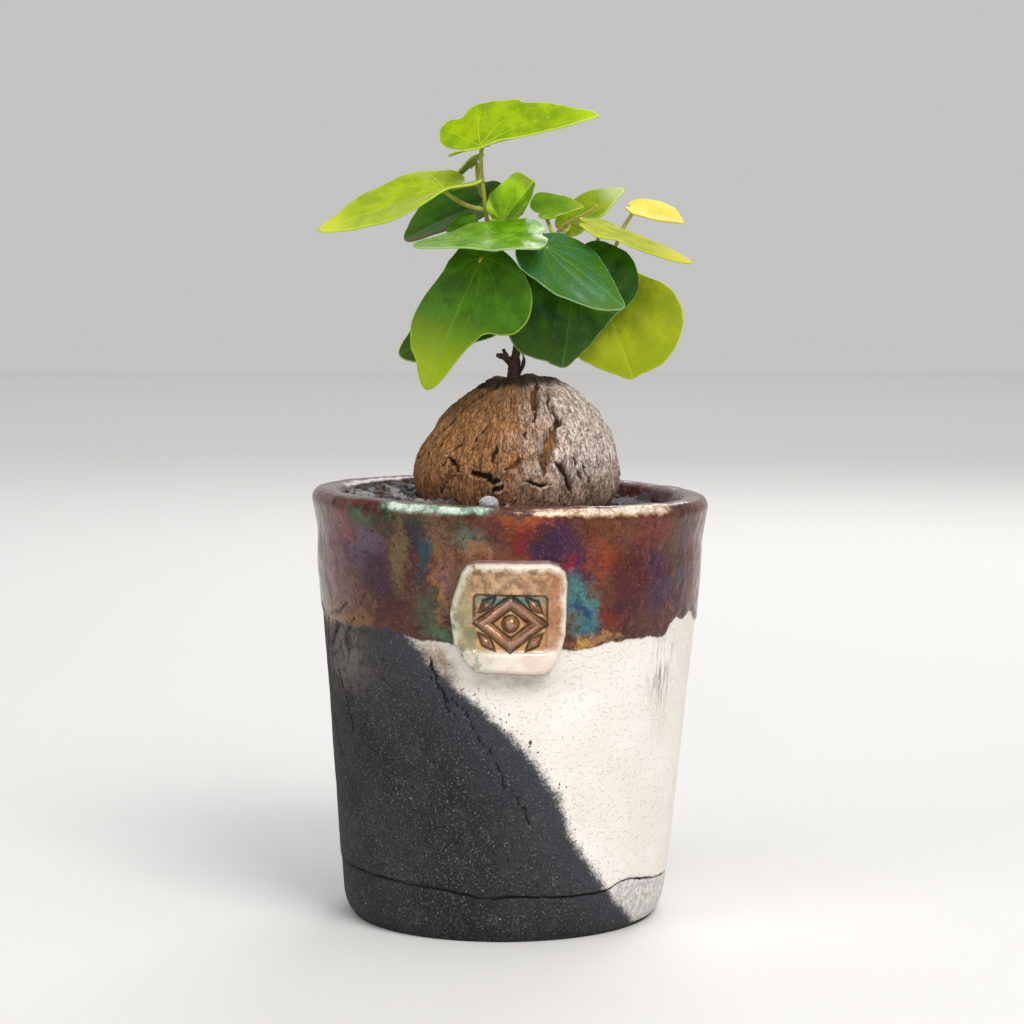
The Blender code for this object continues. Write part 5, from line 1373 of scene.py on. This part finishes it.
@dataclass(frozen=True)
class StemBark(Finish):
    """Stem bark: nearly black and scaly at the woody foot, thin, brown and slightly glossy above."""

    def draw(self, tree: bpy.types.NodeTree, shader: bpy.types.Node) -> None:
        """Dark wood that turns to brown stem and then to green-brown shoot."""
        where = add_node(tree, "TexCoord").outputs["Object"]
        fine = grain(tree, where, 0.5, stretch=(1, 1, 2), Detail=4.0)
        place = add_node(tree, "SeparateXYZ", {0: where})
        high = step(tree, place.outputs[2], 142 * MM, 166 * MM)
        shoot = blend(tree, high, "#664626", "#a4a040")
        old = blend(tree, step(tree, fine, 0.35, 0.65), "#1c0f0a", "#4a2c1c")
        colour = blend(tree, marked(tree, "age"), shoot, old)
        colour = blend(tree, step(tree, fine, 0.5, 0.75, (0.0, 0.4)), colour, "#2c1a10")
        tree.links.new(colour, shader.inputs["Base Color"])
        shader.inputs["Roughness"].default_value = 0.6
        bump = add_node(tree, "Bump", {"Strength": 0.6, "Distance": 0.2 * MM, "Height": fine})
        tree.links.new(bump.outputs[0], shader.inputs["Normal"])


# The leaves


@dataclass(frozen=True)
class LeafColours:
    """The colours of one leaf: between its veins, in its shaded parts, on its veins, at its tip and on its back, and a
    painted bluish sheen.
    """

    light: str
    deep: str
    vein: str
    tip: str
    back: str
    margin: str = "#c4d84c"
    vein_share: float = 0.5
    tip_share: float = 0.5
    gloss: float = 0.36
    # A bluish tint painted as a sheen on the blade, in soft patches
    sheen_colour: str = "#ffffff"
    sheen_share: float = 0.0
    shine: float = 0.15
    # Pale flecks painted as glints
    flecks: float = 0.0
    spots: float = 0.0


@dataclass(frozen=True)
class LeafSkin(Finish):
    """A leaf's upper side: thin, waxy and smooth, quilted between pale veins, and lit through from behind.

    Light passes through the blade, which gives young leaves their glow, so some of it scatters below the surface.
    """

    colours: LeafColours
    net: float = 1.5

    def draw(self, tree: bpy.types.NodeTree, shader: bpy.types.Node) -> None:
        """Colour the blade from its middle to its tip, and lay its veins, their fine net and its margin on it."""
        look = self.colours
        where = add_node(tree, "TexCoord").outputs["Object"]
        flat = add_node(tree, "UVMap", uv_map="flat").outputs[0]
        medium = grain(tree, where, 4.0, Detail=4.0)
        fine = grain(tree, where, 0.6, Detail=3.0)
        colour = blend(tree, step(tree, medium, 0.35, 0.68), look.light, look.deep)
        share = marked(tree, "share")
        ends = combine(tree, "MULTIPLY_ADD", medium, 0.25, marked(tree, "towards_tip"))
        colour = blend(tree, step(tree, ends, 1.0 - look.tip_share + 0.12, 1.1), colour, look.tip)
        links = {"Vector": flat, "Scale": 1 / (self.net * MM)}
        cells = add_node(tree, "TexVoronoi", links, feature="DISTANCE_TO_EDGE").outputs["Distance"]
        net = step(tree, cells, 0.09, 0.02)
        colour = blend(tree, combine(tree, "MULTIPLY", net, 0.09), colour, look.vein)
        lateral = step(tree, marked(tree, "vein"), 0.3, 0.9, (0.0, look.vein_share))
        colour = blend(tree, lateral, colour, look.vein)
        # Painted sheen: bluish patches over the blade
        if look.sheen_share:
            sheen_patches = combine(tree, "MULTIPLY", step(tree, medium, 0.42, 0.62), look.sheen_share)
            colour = blend(tree, sheen_patches, colour, look.sheen_colour)
        # Painted glints: pale flecks on the blade
        if look.flecks:
            flecked = step(tree, grain(tree, where, 0.8, Detail=3.0), 0.68, 0.74, (0.0, look.flecks))
            colour = blend(tree, flecked, colour, "#dce8cc")
        if look.spots:
            dotted = step(tree, grain(tree, where, 1.1, Detail=2.0), 0.7, 0.78)
            near_tip = step(tree, marked(tree, "towards_tip"), 0.75, 1.0)
            colour = blend(tree, combine(tree, "MULTIPLY", dotted, near_tip), colour, "#6a4a1c")
        edge = step(tree, share, 0.982, 0.996, (0.0, 0.6))
        colour = blend(tree, edge, colour, look.margin)
        tree.links.new(colour, shader.inputs["Base Color"])
        tree.links.new(step(tree, fine, 0.3, 0.7, (look.gloss - 0.06, look.gloss + 0.1)), shader.inputs["Roughness"])
        shader.inputs["Specular IOR Level"].default_value = look.shine
        shader.inputs["Subsurface Weight"].default_value = 0.15
        shader.inputs["Subsurface Radius"].default_value = (0.6, 1.0, 0.2)
        shader.inputs["Subsurface Scale"].default_value = 0.8 * MM
        height = combine(tree, "MULTIPLY_ADD", net, -0.15, combine(tree, "MULTIPLY", fine, 0.5))
        bump = add_node(tree, "Bump", {"Strength": 0.2, "Distance": 0.1 * MM, "Height": height})
        tree.links.new(bump.outputs[0], shader.inputs["Normal"])


@dataclass(frozen=True)
class LeafBack(Finish):
    """A leaf's underside: paler and duller than the top, with its veins standing out."""

    colours: LeafColours

    def draw(self, tree: bpy.types.NodeTree, shader: bpy.types.Node) -> None:
        """A dull pale green with paler veins."""
        where = add_node(tree, "TexCoord").outputs["Object"]
        medium = grain(tree, where, 3.0, Detail=4.0)
        colour = blend(tree, step(tree, medium, 0.35, 0.68, (0.0, 0.4)), self.colours.back, self.colours.light)
        colour = blend(tree, step(tree, marked(tree, "vein"), 0.3, 0.8, (0.0, 0.6)), colour, self.colours.vein)
        tree.links.new(colour, shader.inputs["Base Color"])
        shader.inputs["Roughness"].default_value = 0.55
        shader.inputs["Subsurface Weight"].default_value = 0.25
        shader.inputs["Subsurface Radius"].default_value = (0.6, 1.0, 0.2)
        shader.inputs["Subsurface Scale"].default_value = 0.8 * MM


@dataclass(frozen=True)
class StalkSkin(Finish):
    """A leaf stalk: thin, green to straw-coloured, slightly glossy."""

    def draw(self, tree: bpy.types.NodeTree, shader: bpy.types.Node) -> None:
        """Green that turns brown in places."""
        where = add_node(tree, "TexCoord").outputs["Object"]
        medium = grain(tree, where, 3.0, Detail=3.0)
        colour = blend(tree, step(tree, medium, 0.4, 0.68), "#aab43c", "#96843a")
        tree.links.new(colour, shader.inputs["Base Color"])
        shader.inputs["Roughness"].default_value = 0.45


# The angles from the midrib, in degrees, at which a leaf's left and right shares are given
OUTLINE_ANGLES = (10, 25, 45, 70, 100, 130, 158)


@dataclass(frozen=True)
class Leaf:
    """One leaf, placed and shaped as in the CAD.

    It reaches from its junction with the stalk to its tip, and its upper side looks towards face. The margin of
    each half is given as shares of that length at OUTLINE_ANGLES. Each half is turned up by its fold, in degrees
    at the base and at the tip. The stalk leaves its stem at the point stem and passes through the points of
    petiole.
    """

    name: str
    slot: Slot
    junction: Point
    tip: Point
    face: Point
    left: Point
    right: Point
    stem: Point
    petiole: tuple[Point, ...]
    colours: LeafColours
    left_fold: Point = (0, 0)
    right_fold: Point = (0, 0)
    arch: float = 8.0
    wave: float = 0.35
    waves: int = 5
    # Bays and bulges of the margin, as their angle, the share of the reach that they add, and their half width
    notches: tuple[Point, ...] = ()
    sinus: float = 0.1
    thickness: float = 0.42
    stalk_radius: float = 0.46
    stalk_run: float = 1.8
    stalk_sink: Point = (0.45, 0.35)
    # Pairs of main veins, as their angles from the midrib at the stalk and at the margin
    veins: tuple[Point, ...] = ((26, 7), (60, 34), (100, 80), (140, 132))

    @property
    def length(self) -> float:
        """From the junction to the tip."""
        return math.dist(self.junction, self.tip)

    def margin(self, angles: np.ndarray) -> np.ndarray:
        """How far the margin lies from the junction, as a share of the length, at angles in degrees."""
        reach = np.empty(len(angles))
        for half, here in ((self.left, angles > 0), (self.right, angles <= 0)):
            at = np.array((0.0, *OUTLINE_ANGLES, 180.0))
            value = np.array((1.0, *half, self.sinus))
            before = np.array((-at[1], *at[:-1])), np.array((value[1], *value[:-1]))
            after = np.array((*at[1:], 2 * at[-1] - at[-2])), np.array((*value[1:], value[-2]))
            slope = (after[1] - before[1]) / (after[0] - before[0])
            turn = np.abs(angles[here])
            i = np.clip(np.searchsorted(at, turn) - 1, 0, len(at) - 2)
            width = at[i + 1] - at[i]
            t = (turn - at[i]) / width
            reach[here] = (2 * t**3 - 3 * t**2 + 1) * value[i] + (t**3 - 2 * t**2 + t) * width * slope[i]
            reach[here] += (3 * t**2 - 2 * t**3) * value[i + 1] + (t**3 - t**2) * width * slope[i + 1]
        return reach

    def bent(self, flat: np.ndarray, relief: np.ndarray | float = 0.0) -> np.ndarray:
        """Where points of the flat blade lie once its halves are folded and its midrib is arched.

        Args:
            flat: Rows of (x, y), x along the midrib.
            relief: How far each point stands above the blade.

        Returns:
            Rows of (x, y, z) in the leaf's own axes.
        """
        x, y = flat.T
        rise = smoothstep(0.0, 0.6 * self.length, x)
        base = np.where(y > 0, self.left_fold[0], self.right_fold[0])
        end = np.where(y > 0, self.left_fold[1], self.right_fold[1])
        fold = np.radians(base + (end - base) * rise)
        angle = np.arctan2(y, x)
        share = np.hypot(x, y) / (self.length * self.margin(np.degrees(angle)))
        height = np.abs(y) * np.sin(fold) + relief
        height += self.wave * share**2 * np.sin(self.waves * angle) * np.abs(np.sin(angle))
        arch = math.radians(self.arch) / self.length
        ahead, lift = np.sin(arch * x), np.cos(arch * x)
        out = np.abs(y) * np.cos(fold) * np.sign(y)
        return np.column_stack((ahead / arch + ahead * height, out, (lift - 1) / arch + lift * height))

    @cached_property
    def frame(self) -> Matrix:
        """The transform that takes the blade's junction and tip to their places."""
        tip = Vector(self.bent(np.array([[self.length, 0.0]]))[0])
        start, end, up = Vector(self.junction), Vector(self.tip), Vector(self.face)
        along = (end - start).normalized()
        up = (up - along * up.dot(along)).normalized()
        own_x, own_y = tip.normalized(), Vector((0, 1, 0))
        own = Matrix((own_x, own_y, own_x.cross(own_y).normalized()))
        world = Matrix((along, up.cross(along), up)).transposed()
        scale = (end - start).length / tip.length
        return Matrix.Translation(start) @ (world @ own).to_4x4() @ Matrix.Scale(scale, 4)

    def blade(self) -> None:
        """Make the blade, with its veins sunk into it and the skin between them quilted."""
        across, along = (204, 46) if self.length > 15 else (132, 32)
        skin, u, v = Skin.sheet(self.name + "_blade", across, along)
        turn, share = 360 * u - 180, v**0.8
        heading = np.column_stack((np.cos(np.radians(turn)), np.sin(np.radians(turn))))
        frilled = 1 + 0.03 * noise_at(np.column_stack((heading, 0 * u)), 0.33, self.length, octaves=3)
        for at, depth, wide in self.notches:
            frilled += depth * np.exp(-(((turn - at) / wide) ** 2))
        reach = self.length * self.margin(turn) * np.where(np.abs(turn) < 8, 1.0, frilled)
        flat = heading * (reach * share)[:, None]

        from_rib = np.abs(flat[:, 1]) + np.where(flat[:, 0] < 0, -flat[:, 0], 0)
        width = 0.24 * (1 - 0.6 * share) * min(1.0, self.length / 18)
        vein = np.exp(-((from_rib / (1.3 * width)) ** 2))
        nearest = from_rib.copy()
        for base, end in self.veins:
            line = base + (end - base) * share**0.7
            away = np.abs(np.radians(np.abs(turn) - line)) * reach * share
            vein = np.maximum(vein, np.exp(-((away / width) ** 2)) * smoothstep(1.0, 0.8, share))
            nearest = np.minimum(nearest, away)
        quilt = 1 - np.exp(-((nearest / (0.09 * self.length + 0.3)) ** 2))
        spots = np.column_stack((flat, np.zeros(len(flat))))
        relief = (0.12 * quilt - 0.06 * vein) * smoothstep(1.0, 0.75, share) * min(1.0, self.length / 18)
        relief += 0.14 * noise_at(spots, 3.5, 3.0, octaves=2) * quilt
        skin.points = self.bent(flat, relief)
        skin.mesh.transform(self.frame)
        skin.mark("share", share)
        skin.mark("vein", vein)
        skin.mark("towards_tip", np.clip(flat[:, 0] / self.length, 0, 1))
        skin.spread("flat", flat[skin.corner_points()] * MM)
        skin.weld(closed=False)
        piece = skin.piece([self.name], self.slot, LeafSkin(self.name + "_top", self.colours))
        piece.data.materials.append(LeafBack(self.name + "_back", self.colours).material)
        wall = piece.modifiers.new("Thickness", "SOLIDIFY")
        wall.thickness = self.thickness * MM
        wall.offset = 0.0
        wall.material_offset = 1

    def stalk(self, finish: Finish) -> None:
        """Make the stalk, from its stem to a little way along the underside of the midrib."""
        down = -(self.frame.to_3x3() @ Vector((0, 0, 1))).normalized()
        neck = Vector(self.junction) + down * self.stalk_sink[0]
        run = Vector(self.bent(np.array([[self.stalk_run, 0.0]]))[0])
        root = self.frame @ run + down * self.stalk_sink[1]
        first = Vector(self.petiole[0])
        joint = Vector(self.stem) + (first - Vector(self.stem)).normalized() * 0.1
        radius = self.stalk_radius
        ends = ((*joint, radius * 1.15), *((*p, radius) for p in self.petiole), (*neck, radius), (*root, radius * 0.6))
        shape = stalk(curve_through(ends, 6), 10)
        Skin(self.name + "_stalk", shape).piece([self.name], self.slot, finish)


LEAVES = (
    Leaf(
        name="leaf_top", slot=Slot.LIME,
        junction=(-6.3, -1.0, 174.3), tip=(20.0, -4.0, 180.9), face=(0.0, -0.36, 0.93),
        left=(0.81, 0.63, 0.53, 0.46, 0.4, 0.44, 0.34), right=(0.85, 0.5, 0.38, 0.34, 0.32, 0.33, 0.28),
        stem=(-6.0, 0.4, 166.0), petiole=((-6.4, 0.0, 169.5),),
        left_fold=(32, 32), right_fold=(18, 14), arch=3,
        notches=((36, -0.06, 7), (110, -0.09, 9), (-16, 0.08, 4), (-30, -0.05, 6)),
        colours=LeafColours("#94ae00", "#769400", "#b8d438", "#a4c008", "#8ca03c", tip_share=0.3, gloss=0.36),
    ),
    Leaf(
        name="leaf_left", slot=Slot.LIME,
        junction=(-14.7, -5.0, 164.4), tip=(-42.7, -9.0, 155.2), face=(-0.1, -0.4, 0.9),
        left=(0.86, 0.64, 0.47, 0.38, 0.34, 0.34, 0.28), right=(0.8, 0.66, 0.47, 0.4, 0.31, 0.25, 0.2),
        stem=(-5.4, 0.8, 160.0), petiole=((-9.4, -1.6, 160.9), (-12.6, -4.0, 162.6)),
        left_fold=(22, 1), right_fold=(6, 6), arch=6,
        colours=LeafColours("#9cb000", "#829c00", "#b8c838", "#c4c828", "#8a9c34", tip_share=0.35, gloss=0.36, flecks=0.4),
    ),
    Leaf(
        name="leaf_edge_on", slot=Slot.GREEN,
        junction=(-7.8, 6.8, 171.0), tip=(-15.4, 7.6, 164.0), face=(-0.6, 0.1, 0.75),
        left=(0.85, 0.62, 0.48, 0.42, 0.36, 0.32, 0.26), right=(0.85, 0.62, 0.48, 0.42, 0.36, 0.32, 0.26),
        stem=(-5.7, 0.6, 163.0), petiole=((-6.4, 3.0, 163.8), (-7.2, 5.6, 166.6)),
        left_fold=(10, 10), right_fold=(10, 10), arch=4, wave=0.1,
        colours=LeafColours("#7a9c10", "#608008", "#98b438", "#88a024", "#7c8c38"),
    ),
    Leaf(
        name="leaf_left_back", slot=Slot.DARK,
        junction=(-5.6, 10.0, 162.0), tip=(-24.2, 11.0, 153.4), face=(-0.1, -0.5, 0.85),
        left=(0.92, 0.66, 0.47, 0.4, 0.36, 0.34, 0.3), right=(0.94, 0.85, 0.66, 0.43, 0.35, 0.32, 0.28),
        stem=(-4.9, 1.0, 157.0), petiole=((-5.2, 6.0, 159.0),),
        left_fold=(7, 7), right_fold=(8, 8),
        colours=LeafColours("#3c7000", "#2c5a02", "#507c20", "#446c0c", "#8a6a50", margin="#9a7058", gloss=0.34),
    ),
    Leaf(
        name="leaf_mid_left", slot=Slot.GREEN,
        junction=(-0.3, -13.6, 153.9), tip=(-21.3, -16.0, 152.1), face=(0.03, -0.26, 0.96),
        left=(0.95, 0.65, 0.51, 0.48, 0.51, 0.5, 0.42), right=(0.81, 0.62, 0.55, 0.49, 0.5, 0.56, 0.44),
        stem=(-4.0, 1.4, 152.0), petiole=((-3.2, -4.4, 151.6), (-2.0, -9.4, 152.0)),
        left_fold=(-1, -1), right_fold=(5, 5), arch=4,
        sinus=0.36,
        colours=LeafColours("#6c9c10", "#4a7c06", "#88b040", "#5c8c14", "#7c944c", margin="#b4cc88", gloss=0.26, flecks=0.7),
    ),
    Leaf(
        name="leaf_curled", slot=Slot.LIME,
        junction=(-1.5, -2.0, 157.6), tip=(5.4, -4.0, 166.5), face=(0.1, -0.9, 0.3),
        left=(0.98, 0.88, 0.7, 0.54, 0.34, 0.2, 0.12), right=(0.93, 0.7, 0.5, 0.4, 0.32, 0.24, 0.14),
        stem=(-4.9, 1.0, 157.6), petiole=((-3.4, -0.8, 156.8),),
        left_fold=(0, 0), right_fold=(-60, -60), arch=20, wave=0.8, waves=9,
        notches=((20, 0.08, 8), (48, -0.06, 10), (-12, -0.06, 6)),
        colours=LeafColours("#98c00c", "#64960a", "#b4d048", "#7c9020", "#b0bc44", gloss=0.26, tip_share=0.3),
    ),
    Leaf(
        name="leaf_right_back", slot=Slot.GREEN,
        junction=(8.3, 8.0, 159.6), tip=(17.0, 9.4, 160.8), face=(0.0, -0.5, 0.85),
        left=(0.9, 0.77, 0.65, 0.61, 0.62, 0.5, 0.3), right=(0.76, 0.6, 0.5, 0.45, 0.4, 0.32, 0.22),
        stem=(10.3, 2.7, 153.2), petiole=((9.4, 6.0, 155.8),),
        left_fold=(23, 23), right_fold=(8, 8), wave=0.2,
        colours=LeafColours("#74a008", "#5c8404", "#90b438", "#88a01c", "#8c9c48"),
    ),
    Leaf(
        name="leaf_far_right", slot=Slot.GREEN,
        junction=(14.1, 14.0, 157.2), tip=(26.5, 14.0, 165.0), face=(-0.3, -0.7, 0.6),
        left=(0.87, 0.74, 0.62, 0.46, 0.38, 0.32, 0.24), right=(0.84, 0.65, 0.49, 0.41, 0.35, 0.29, 0.22),
        stem=(11.5, 2.4, 155.8), petiole=((12.4, 6.4, 155.2), (13.4, 10.6, 155.6)),
        left_fold=(-8, -8), right_fold=(14, 14), wave=0.2,
        colours=LeafColours("#92a810", "#74900a", "#b0c450", "#c8d498", "#a4b068", tip_share=0.5),
    ),
    Leaf(
        name="leaf_right", slot=Slot.LIME,
        junction=(20.4, -4.0, 155.9), tip=(41.0, -5.0, 148.1), face=(0.3, -0.12, 0.95),
        left=(0.84, 0.57, 0.47, 0.38, 0.34, 0.32, 0.24), right=(0.88, 0.6, 0.4, 0.33, 0.3, 0.28, 0.22),
        stem=(19.5, 7.5, 149.4), petiole=((19.8, 4.6, 151.6), (20.2, 0.0, 154.4)),
        left_fold=(6, 6), right_fold=(-9, -9), arch=4,
        colours=LeafColours("#a6aa06", "#8a9406", "#c0c434", "#c4b818", "#a4ac48", gloss=0.6, vein_share=0.25, shine=0.08),
    ),
    Leaf(
        name="leaf_yellow", slot=Slot.YELLOW,
        junction=(28.9, 8.0, 160.5), tip=(39.8, 7.0, 157.1), face=(0.2, -0.45, 0.85),
        left=(0.91, 0.78, 0.58, 0.38, 0.27, 0.22, 0.18), right=(0.79, 0.63, 0.49, 0.36, 0.28, 0.24, 0.2),
        stem=(25.6, 8.6, 155.4), petiole=((27.4, 8.4, 158.2),),
        left_fold=(12, 12), right_fold=(4, 4), wave=0.15,
        colours=LeafColours("#dfd25c", "#cfc23c", "#f4eca8", "#e8cc60", "#e4da70", margin="#dcc450", gloss=0.4, vein_share=0.3),
    ),
    Leaf(
        name="leaf_centre", slot=Slot.GREEN,
        junction=(7.9, -11.0, 151.8), tip=(25.4, -14.0, 138.2), face=(0.3, -0.8, 0.55),
        left=(0.81, 0.63, 0.5, 0.34, 0.22, 0.18, 0.14), right=(0.9, 0.71, 0.57, 0.43, 0.37, 0.3, 0.16),
        stem=(9.0, 3.0, 150.0), petiole=((6.8, -1.6, 151.4), (6.8, -7.0, 151.4)),
        left_fold=(-8, -8), right_fold=(-2, -2), arch=14,
        colours=LeafColours("#366616", "#254e0a", "#5c9048", "#406c14", "#6c9070", margin="#a8c890", gloss=0.26, sheen_colour="#4e8866", sheen_share=0.3, flecks=0.25),
    ),
    Leaf(
        name="leaf_big_dark", slot=Slot.DARK,
        junction=(15.0, -2.0, 147.9), tip=(11.9, -5.0, 124.5), face=(0.15, -0.95, 0.25),
        left=(0.86, 0.7, 0.62, 0.64, 0.55, 0.38, 0.24), right=(0.98, 1.0, 0.86, 0.58, 0.32, 0.22, 0.18),
        stem=(7.6, 3.4, 145.6), petiole=((11.4, 1.4, 146.4),),
        left_fold=(3, 3), right_fold=(-2, -2), arch=14,
        colours=LeafColours("#356604", "#1c4202", "#5c7c38", "#345408", "#5c7a44", margin="#98b478", gloss=0.32, spots=1.0),
    ),
    Leaf(
        name="leaf_lower_right", slot=Slot.LIME,
        junction=(21.6, 6.0, 140.3), tip=(28.2, 3.0, 121.7), face=(-0.1, -0.95, 0.3),
        left=(0.98, 1.02, 0.98, 0.84, 0.52, 0.4, 0.28), right=(0.92, 0.82, 0.75, 0.64, 0.48, 0.38, 0.28),
        stem=(5.8, 3.1, 140.6), petiole=((11.0, 6.6, 140.8), (17.0, 7.6, 141.2)),
        left_fold=(-4, -4), right_fold=(12, 12), arch=12,
        colours=LeafColours("#a0ac04", "#869604", "#b8c038", "#8c9c04", "#a4ac4c", gloss=0.4, vein_share=0.4),
    ),
    Leaf(
        name="leaf_big_left", slot=Slot.GREEN,
        junction=(-6.1, -9.6, 149.3), tip=(-18.5, -14.0, 120.0), face=(-0.15, -0.9, 0.4),
        left=(0.76, 0.56, 0.6, 0.48, 0.25, 0.16, 0.11), right=(0.86, 0.69, 0.34, 0.23, 0.19, 0.15, 0.11),
        stem=(-2.4, 2.0, 147.5), petiole=((-3.6, -3.8, 147.6),),
        left_fold=(-1, -1), right_fold=(-9, -9), arch=16, wave=0.5,
        notches=((14, -0.04, 5), (62, 0.04, 10)),
        colours=LeafColours("#406f04", "#305802", "#6c9430", "#8ca004", "#7c944c", margin="#b4cc48", tip_share=0.62, gloss=0.4, vein_share=0.35),
    ),
    Leaf(
        name="leaf_left_hidden", slot=Slot.DARK,
        junction=(-5.4, 7.0, 139.6), tip=(-25.3, 6.0, 126.9), face=(-0.2, -0.9, 0.3),
        left=(0.9, 0.57, 0.45, 0.39, 0.34, 0.31, 0.26), right=(0.83, 0.59, 0.42, 0.34, 0.3, 0.28, 0.25),
        stem=(1.2, 2.2, 141.0), petiole=((-2.4, 5.4, 140.4),),
        left_fold=(3, 3), right_fold=(-8, -8),
        colours=LeafColours("#2f5008", "#244004", "#547c30", "#3f5c10", "#5c7a40"),
    ),
    Leaf(
        name="leaf_inner", slot=Slot.GREEN,
        junction=(-8.8, -0.6, 157.6), tip=(-14.2, -1.8, 154.9), face=(-0.1, -0.8, 0.6),
        left=(0.85, 0.66, 0.5, 0.42, 0.36, 0.32, 0.26), right=(0.85, 0.66, 0.5, 0.42, 0.36, 0.32, 0.26),
        stem=(-4.4, 1.2, 154.0), petiole=((-6.8, 0.2, 154.6), (-8.0, -0.2, 155.9)),
        left_fold=(6, 6), right_fold=(6, 6), wave=0.1,
        colours=LeafColours("#4a7810", "#355c08", "#6f943c", "#4f7c18", "#7c8c48"),
    ),
)


# The studio


@dataclass(frozen=True)
class Softbox:
    """A square soft light: where it hangs in millimetres, its side, its power in watts, and where it points."""

    name: str
    place: Point
    side: float
    power: float
    colour: str = "#ffffff"
    aim: Point = (0.0, 0.0, 95.0)


@dataclass
class Studio:
    """The floor, the lights and the camera at the photograph's angle."""

    camera_place: Point = (0.57, -643.0, 150.0)
    camera_drop: float = 5.2
    lens: float = 99.49
    sensor: float = 36.0
    floor_side: float = 6000.0
    # The world's strength in front of the object and behind it
    glow: Point = (0.3, 0.61)
    # An even light on the whole floor, in watts a square metre, from a wide patch of sky
    daylight: float = 1.05
    daylight_spread: float = 80.0
    softboxes: tuple[Softbox, ...] = (
        Softbox("key", (480.0, -800.0, 1050.0), 560.0, 10.2, "#fffcf8"),
        Softbox("fill", (-900.0, -700.0, 520.0), 640.0, 3.8, "#f6f8ff"),
        Softbox("front", (0.0, -1000.0, 300.0), 420.0, 1.0),
        Softbox("back", (260.0, 900.0, 760.0), 560.0, 4.0),
        Softbox("beyond", (0.0, 1900.0, 1300.0), 2200.0, 5.5, aim=(0.0, 1900.0, 0.0)),
    )

    def build(self) -> None:
        """Add the floor, the world, the lights and the camera."""
        self.floor()
        self.surroundings()
        bpy.context.scene.view_settings.view_transform = "Standard"
        for softbox in self.softboxes:
            light = bpy.data.lights.new(softbox.name, "AREA")
            light.size = softbox.side * MM
            light.energy = softbox.power
            light.color = linear(softbox.colour)[:3]
            self.put(softbox.name, light, softbox.place, Vector(softbox.aim) - Vector(softbox.place))
        daylight = bpy.data.lights.new("daylight", "SUN")
        daylight.energy = self.daylight
        daylight.angle = math.radians(self.daylight_spread)
        self.put("daylight", daylight, (0.0, 0.0, 2000.0), Vector((-0.25, 0.5, -1.0)))
        camera = bpy.data.cameras.new("photograph")
        camera.lens = self.lens
        camera.sensor_width = self.sensor
        drop = math.radians(self.camera_drop)
        view = self.put("photograph", camera, self.camera_place, Vector((0.0, math.cos(drop), -math.sin(drop))))
        bpy.context.scene.camera = view

    def surroundings(self) -> None:
        """Add a pale world, brighter behind the object than in front of it."""
        world = bpy.data.worlds.new("studio")
        world.use_nodes = True
        tree = world.node_tree
        background = tree.nodes["Background"]
        background.inputs["Color"].default_value = linear("#f4f3f1")
        way = add_node(tree, "SeparateXYZ", {0: add_node(tree, "TexCoord").outputs["Generated"]})
        tree.links.new(step(tree, way.outputs[1], 0.3, 0.8, self.glow), background.inputs["Strength"])
        bpy.context.scene.world = world

    @staticmethod
    def put(name: str, data: bpy.types.ID, place: Point, towards: Vector) -> bpy.types.Object:
        """Place a light or camera so that it looks along a direction."""
        obj = bpy.data.objects.new(name, data)
        obj.location = Vector(place) * MM
        obj.rotation_euler = towards.to_track_quat("-Z", "Y").to_euler()
        bpy.context.scene.collection.objects.link(obj)
        return obj

    def floor(self) -> None:
        """Add a plain pale floor."""
        bm = bmesh.new()
        bmesh.ops.create_grid(bm, x_segments=1, y_segments=1, size=self.floor_side / 2 * MM)
        mesh = bpy.data.meshes.new("floor")
        bm.to_mesh(mesh)
        bm.free()
        mesh.materials.append(PlainFloor("floor").material)
        obj = bpy.data.objects.new("floor", mesh)
        bpy.context.scene.collection.objects.link(obj)


@dataclass(frozen=True)
class PlainFloor(Finish):
    """Matt off-white paper."""

    def draw(self, tree: bpy.types.NodeTree, shader: bpy.types.Node) -> None:
        """One pale colour."""
        shader.inputs["Base Color"].default_value = linear("#dddcda")
        shader.inputs["Roughness"].default_value = 0.8
        shader.inputs["Specular IOR Level"].default_value = 0.2


def main() -> None:
    """Build the plant and its pot from the ground up, then the studio."""
    logging.basicConfig(level=logging.INFO, format="%(message)s")
    pot = RakuPot()
    pot.build(RakuClay("raku_clay"))
    Medallion(pot).build(PadGlaze("pad_glaze"))
    GritBed().build(BlackGrit("black_grit"))
    Caudex().build(CorkyBark("corky_bark"))
    stem_bark = StemBark("stem_bark")
    LooseBits().build(PaleStone("pale_stone"), stem_bark)
    Vine().build(stem_bark)
    stalk_skin = StalkSkin("leaf_stalk")
    for leaf in LEAVES:
        leaf.blade()
        leaf.stalk(stalk_skin)
    Studio().build()


if __name__ == "__main__":
    main()
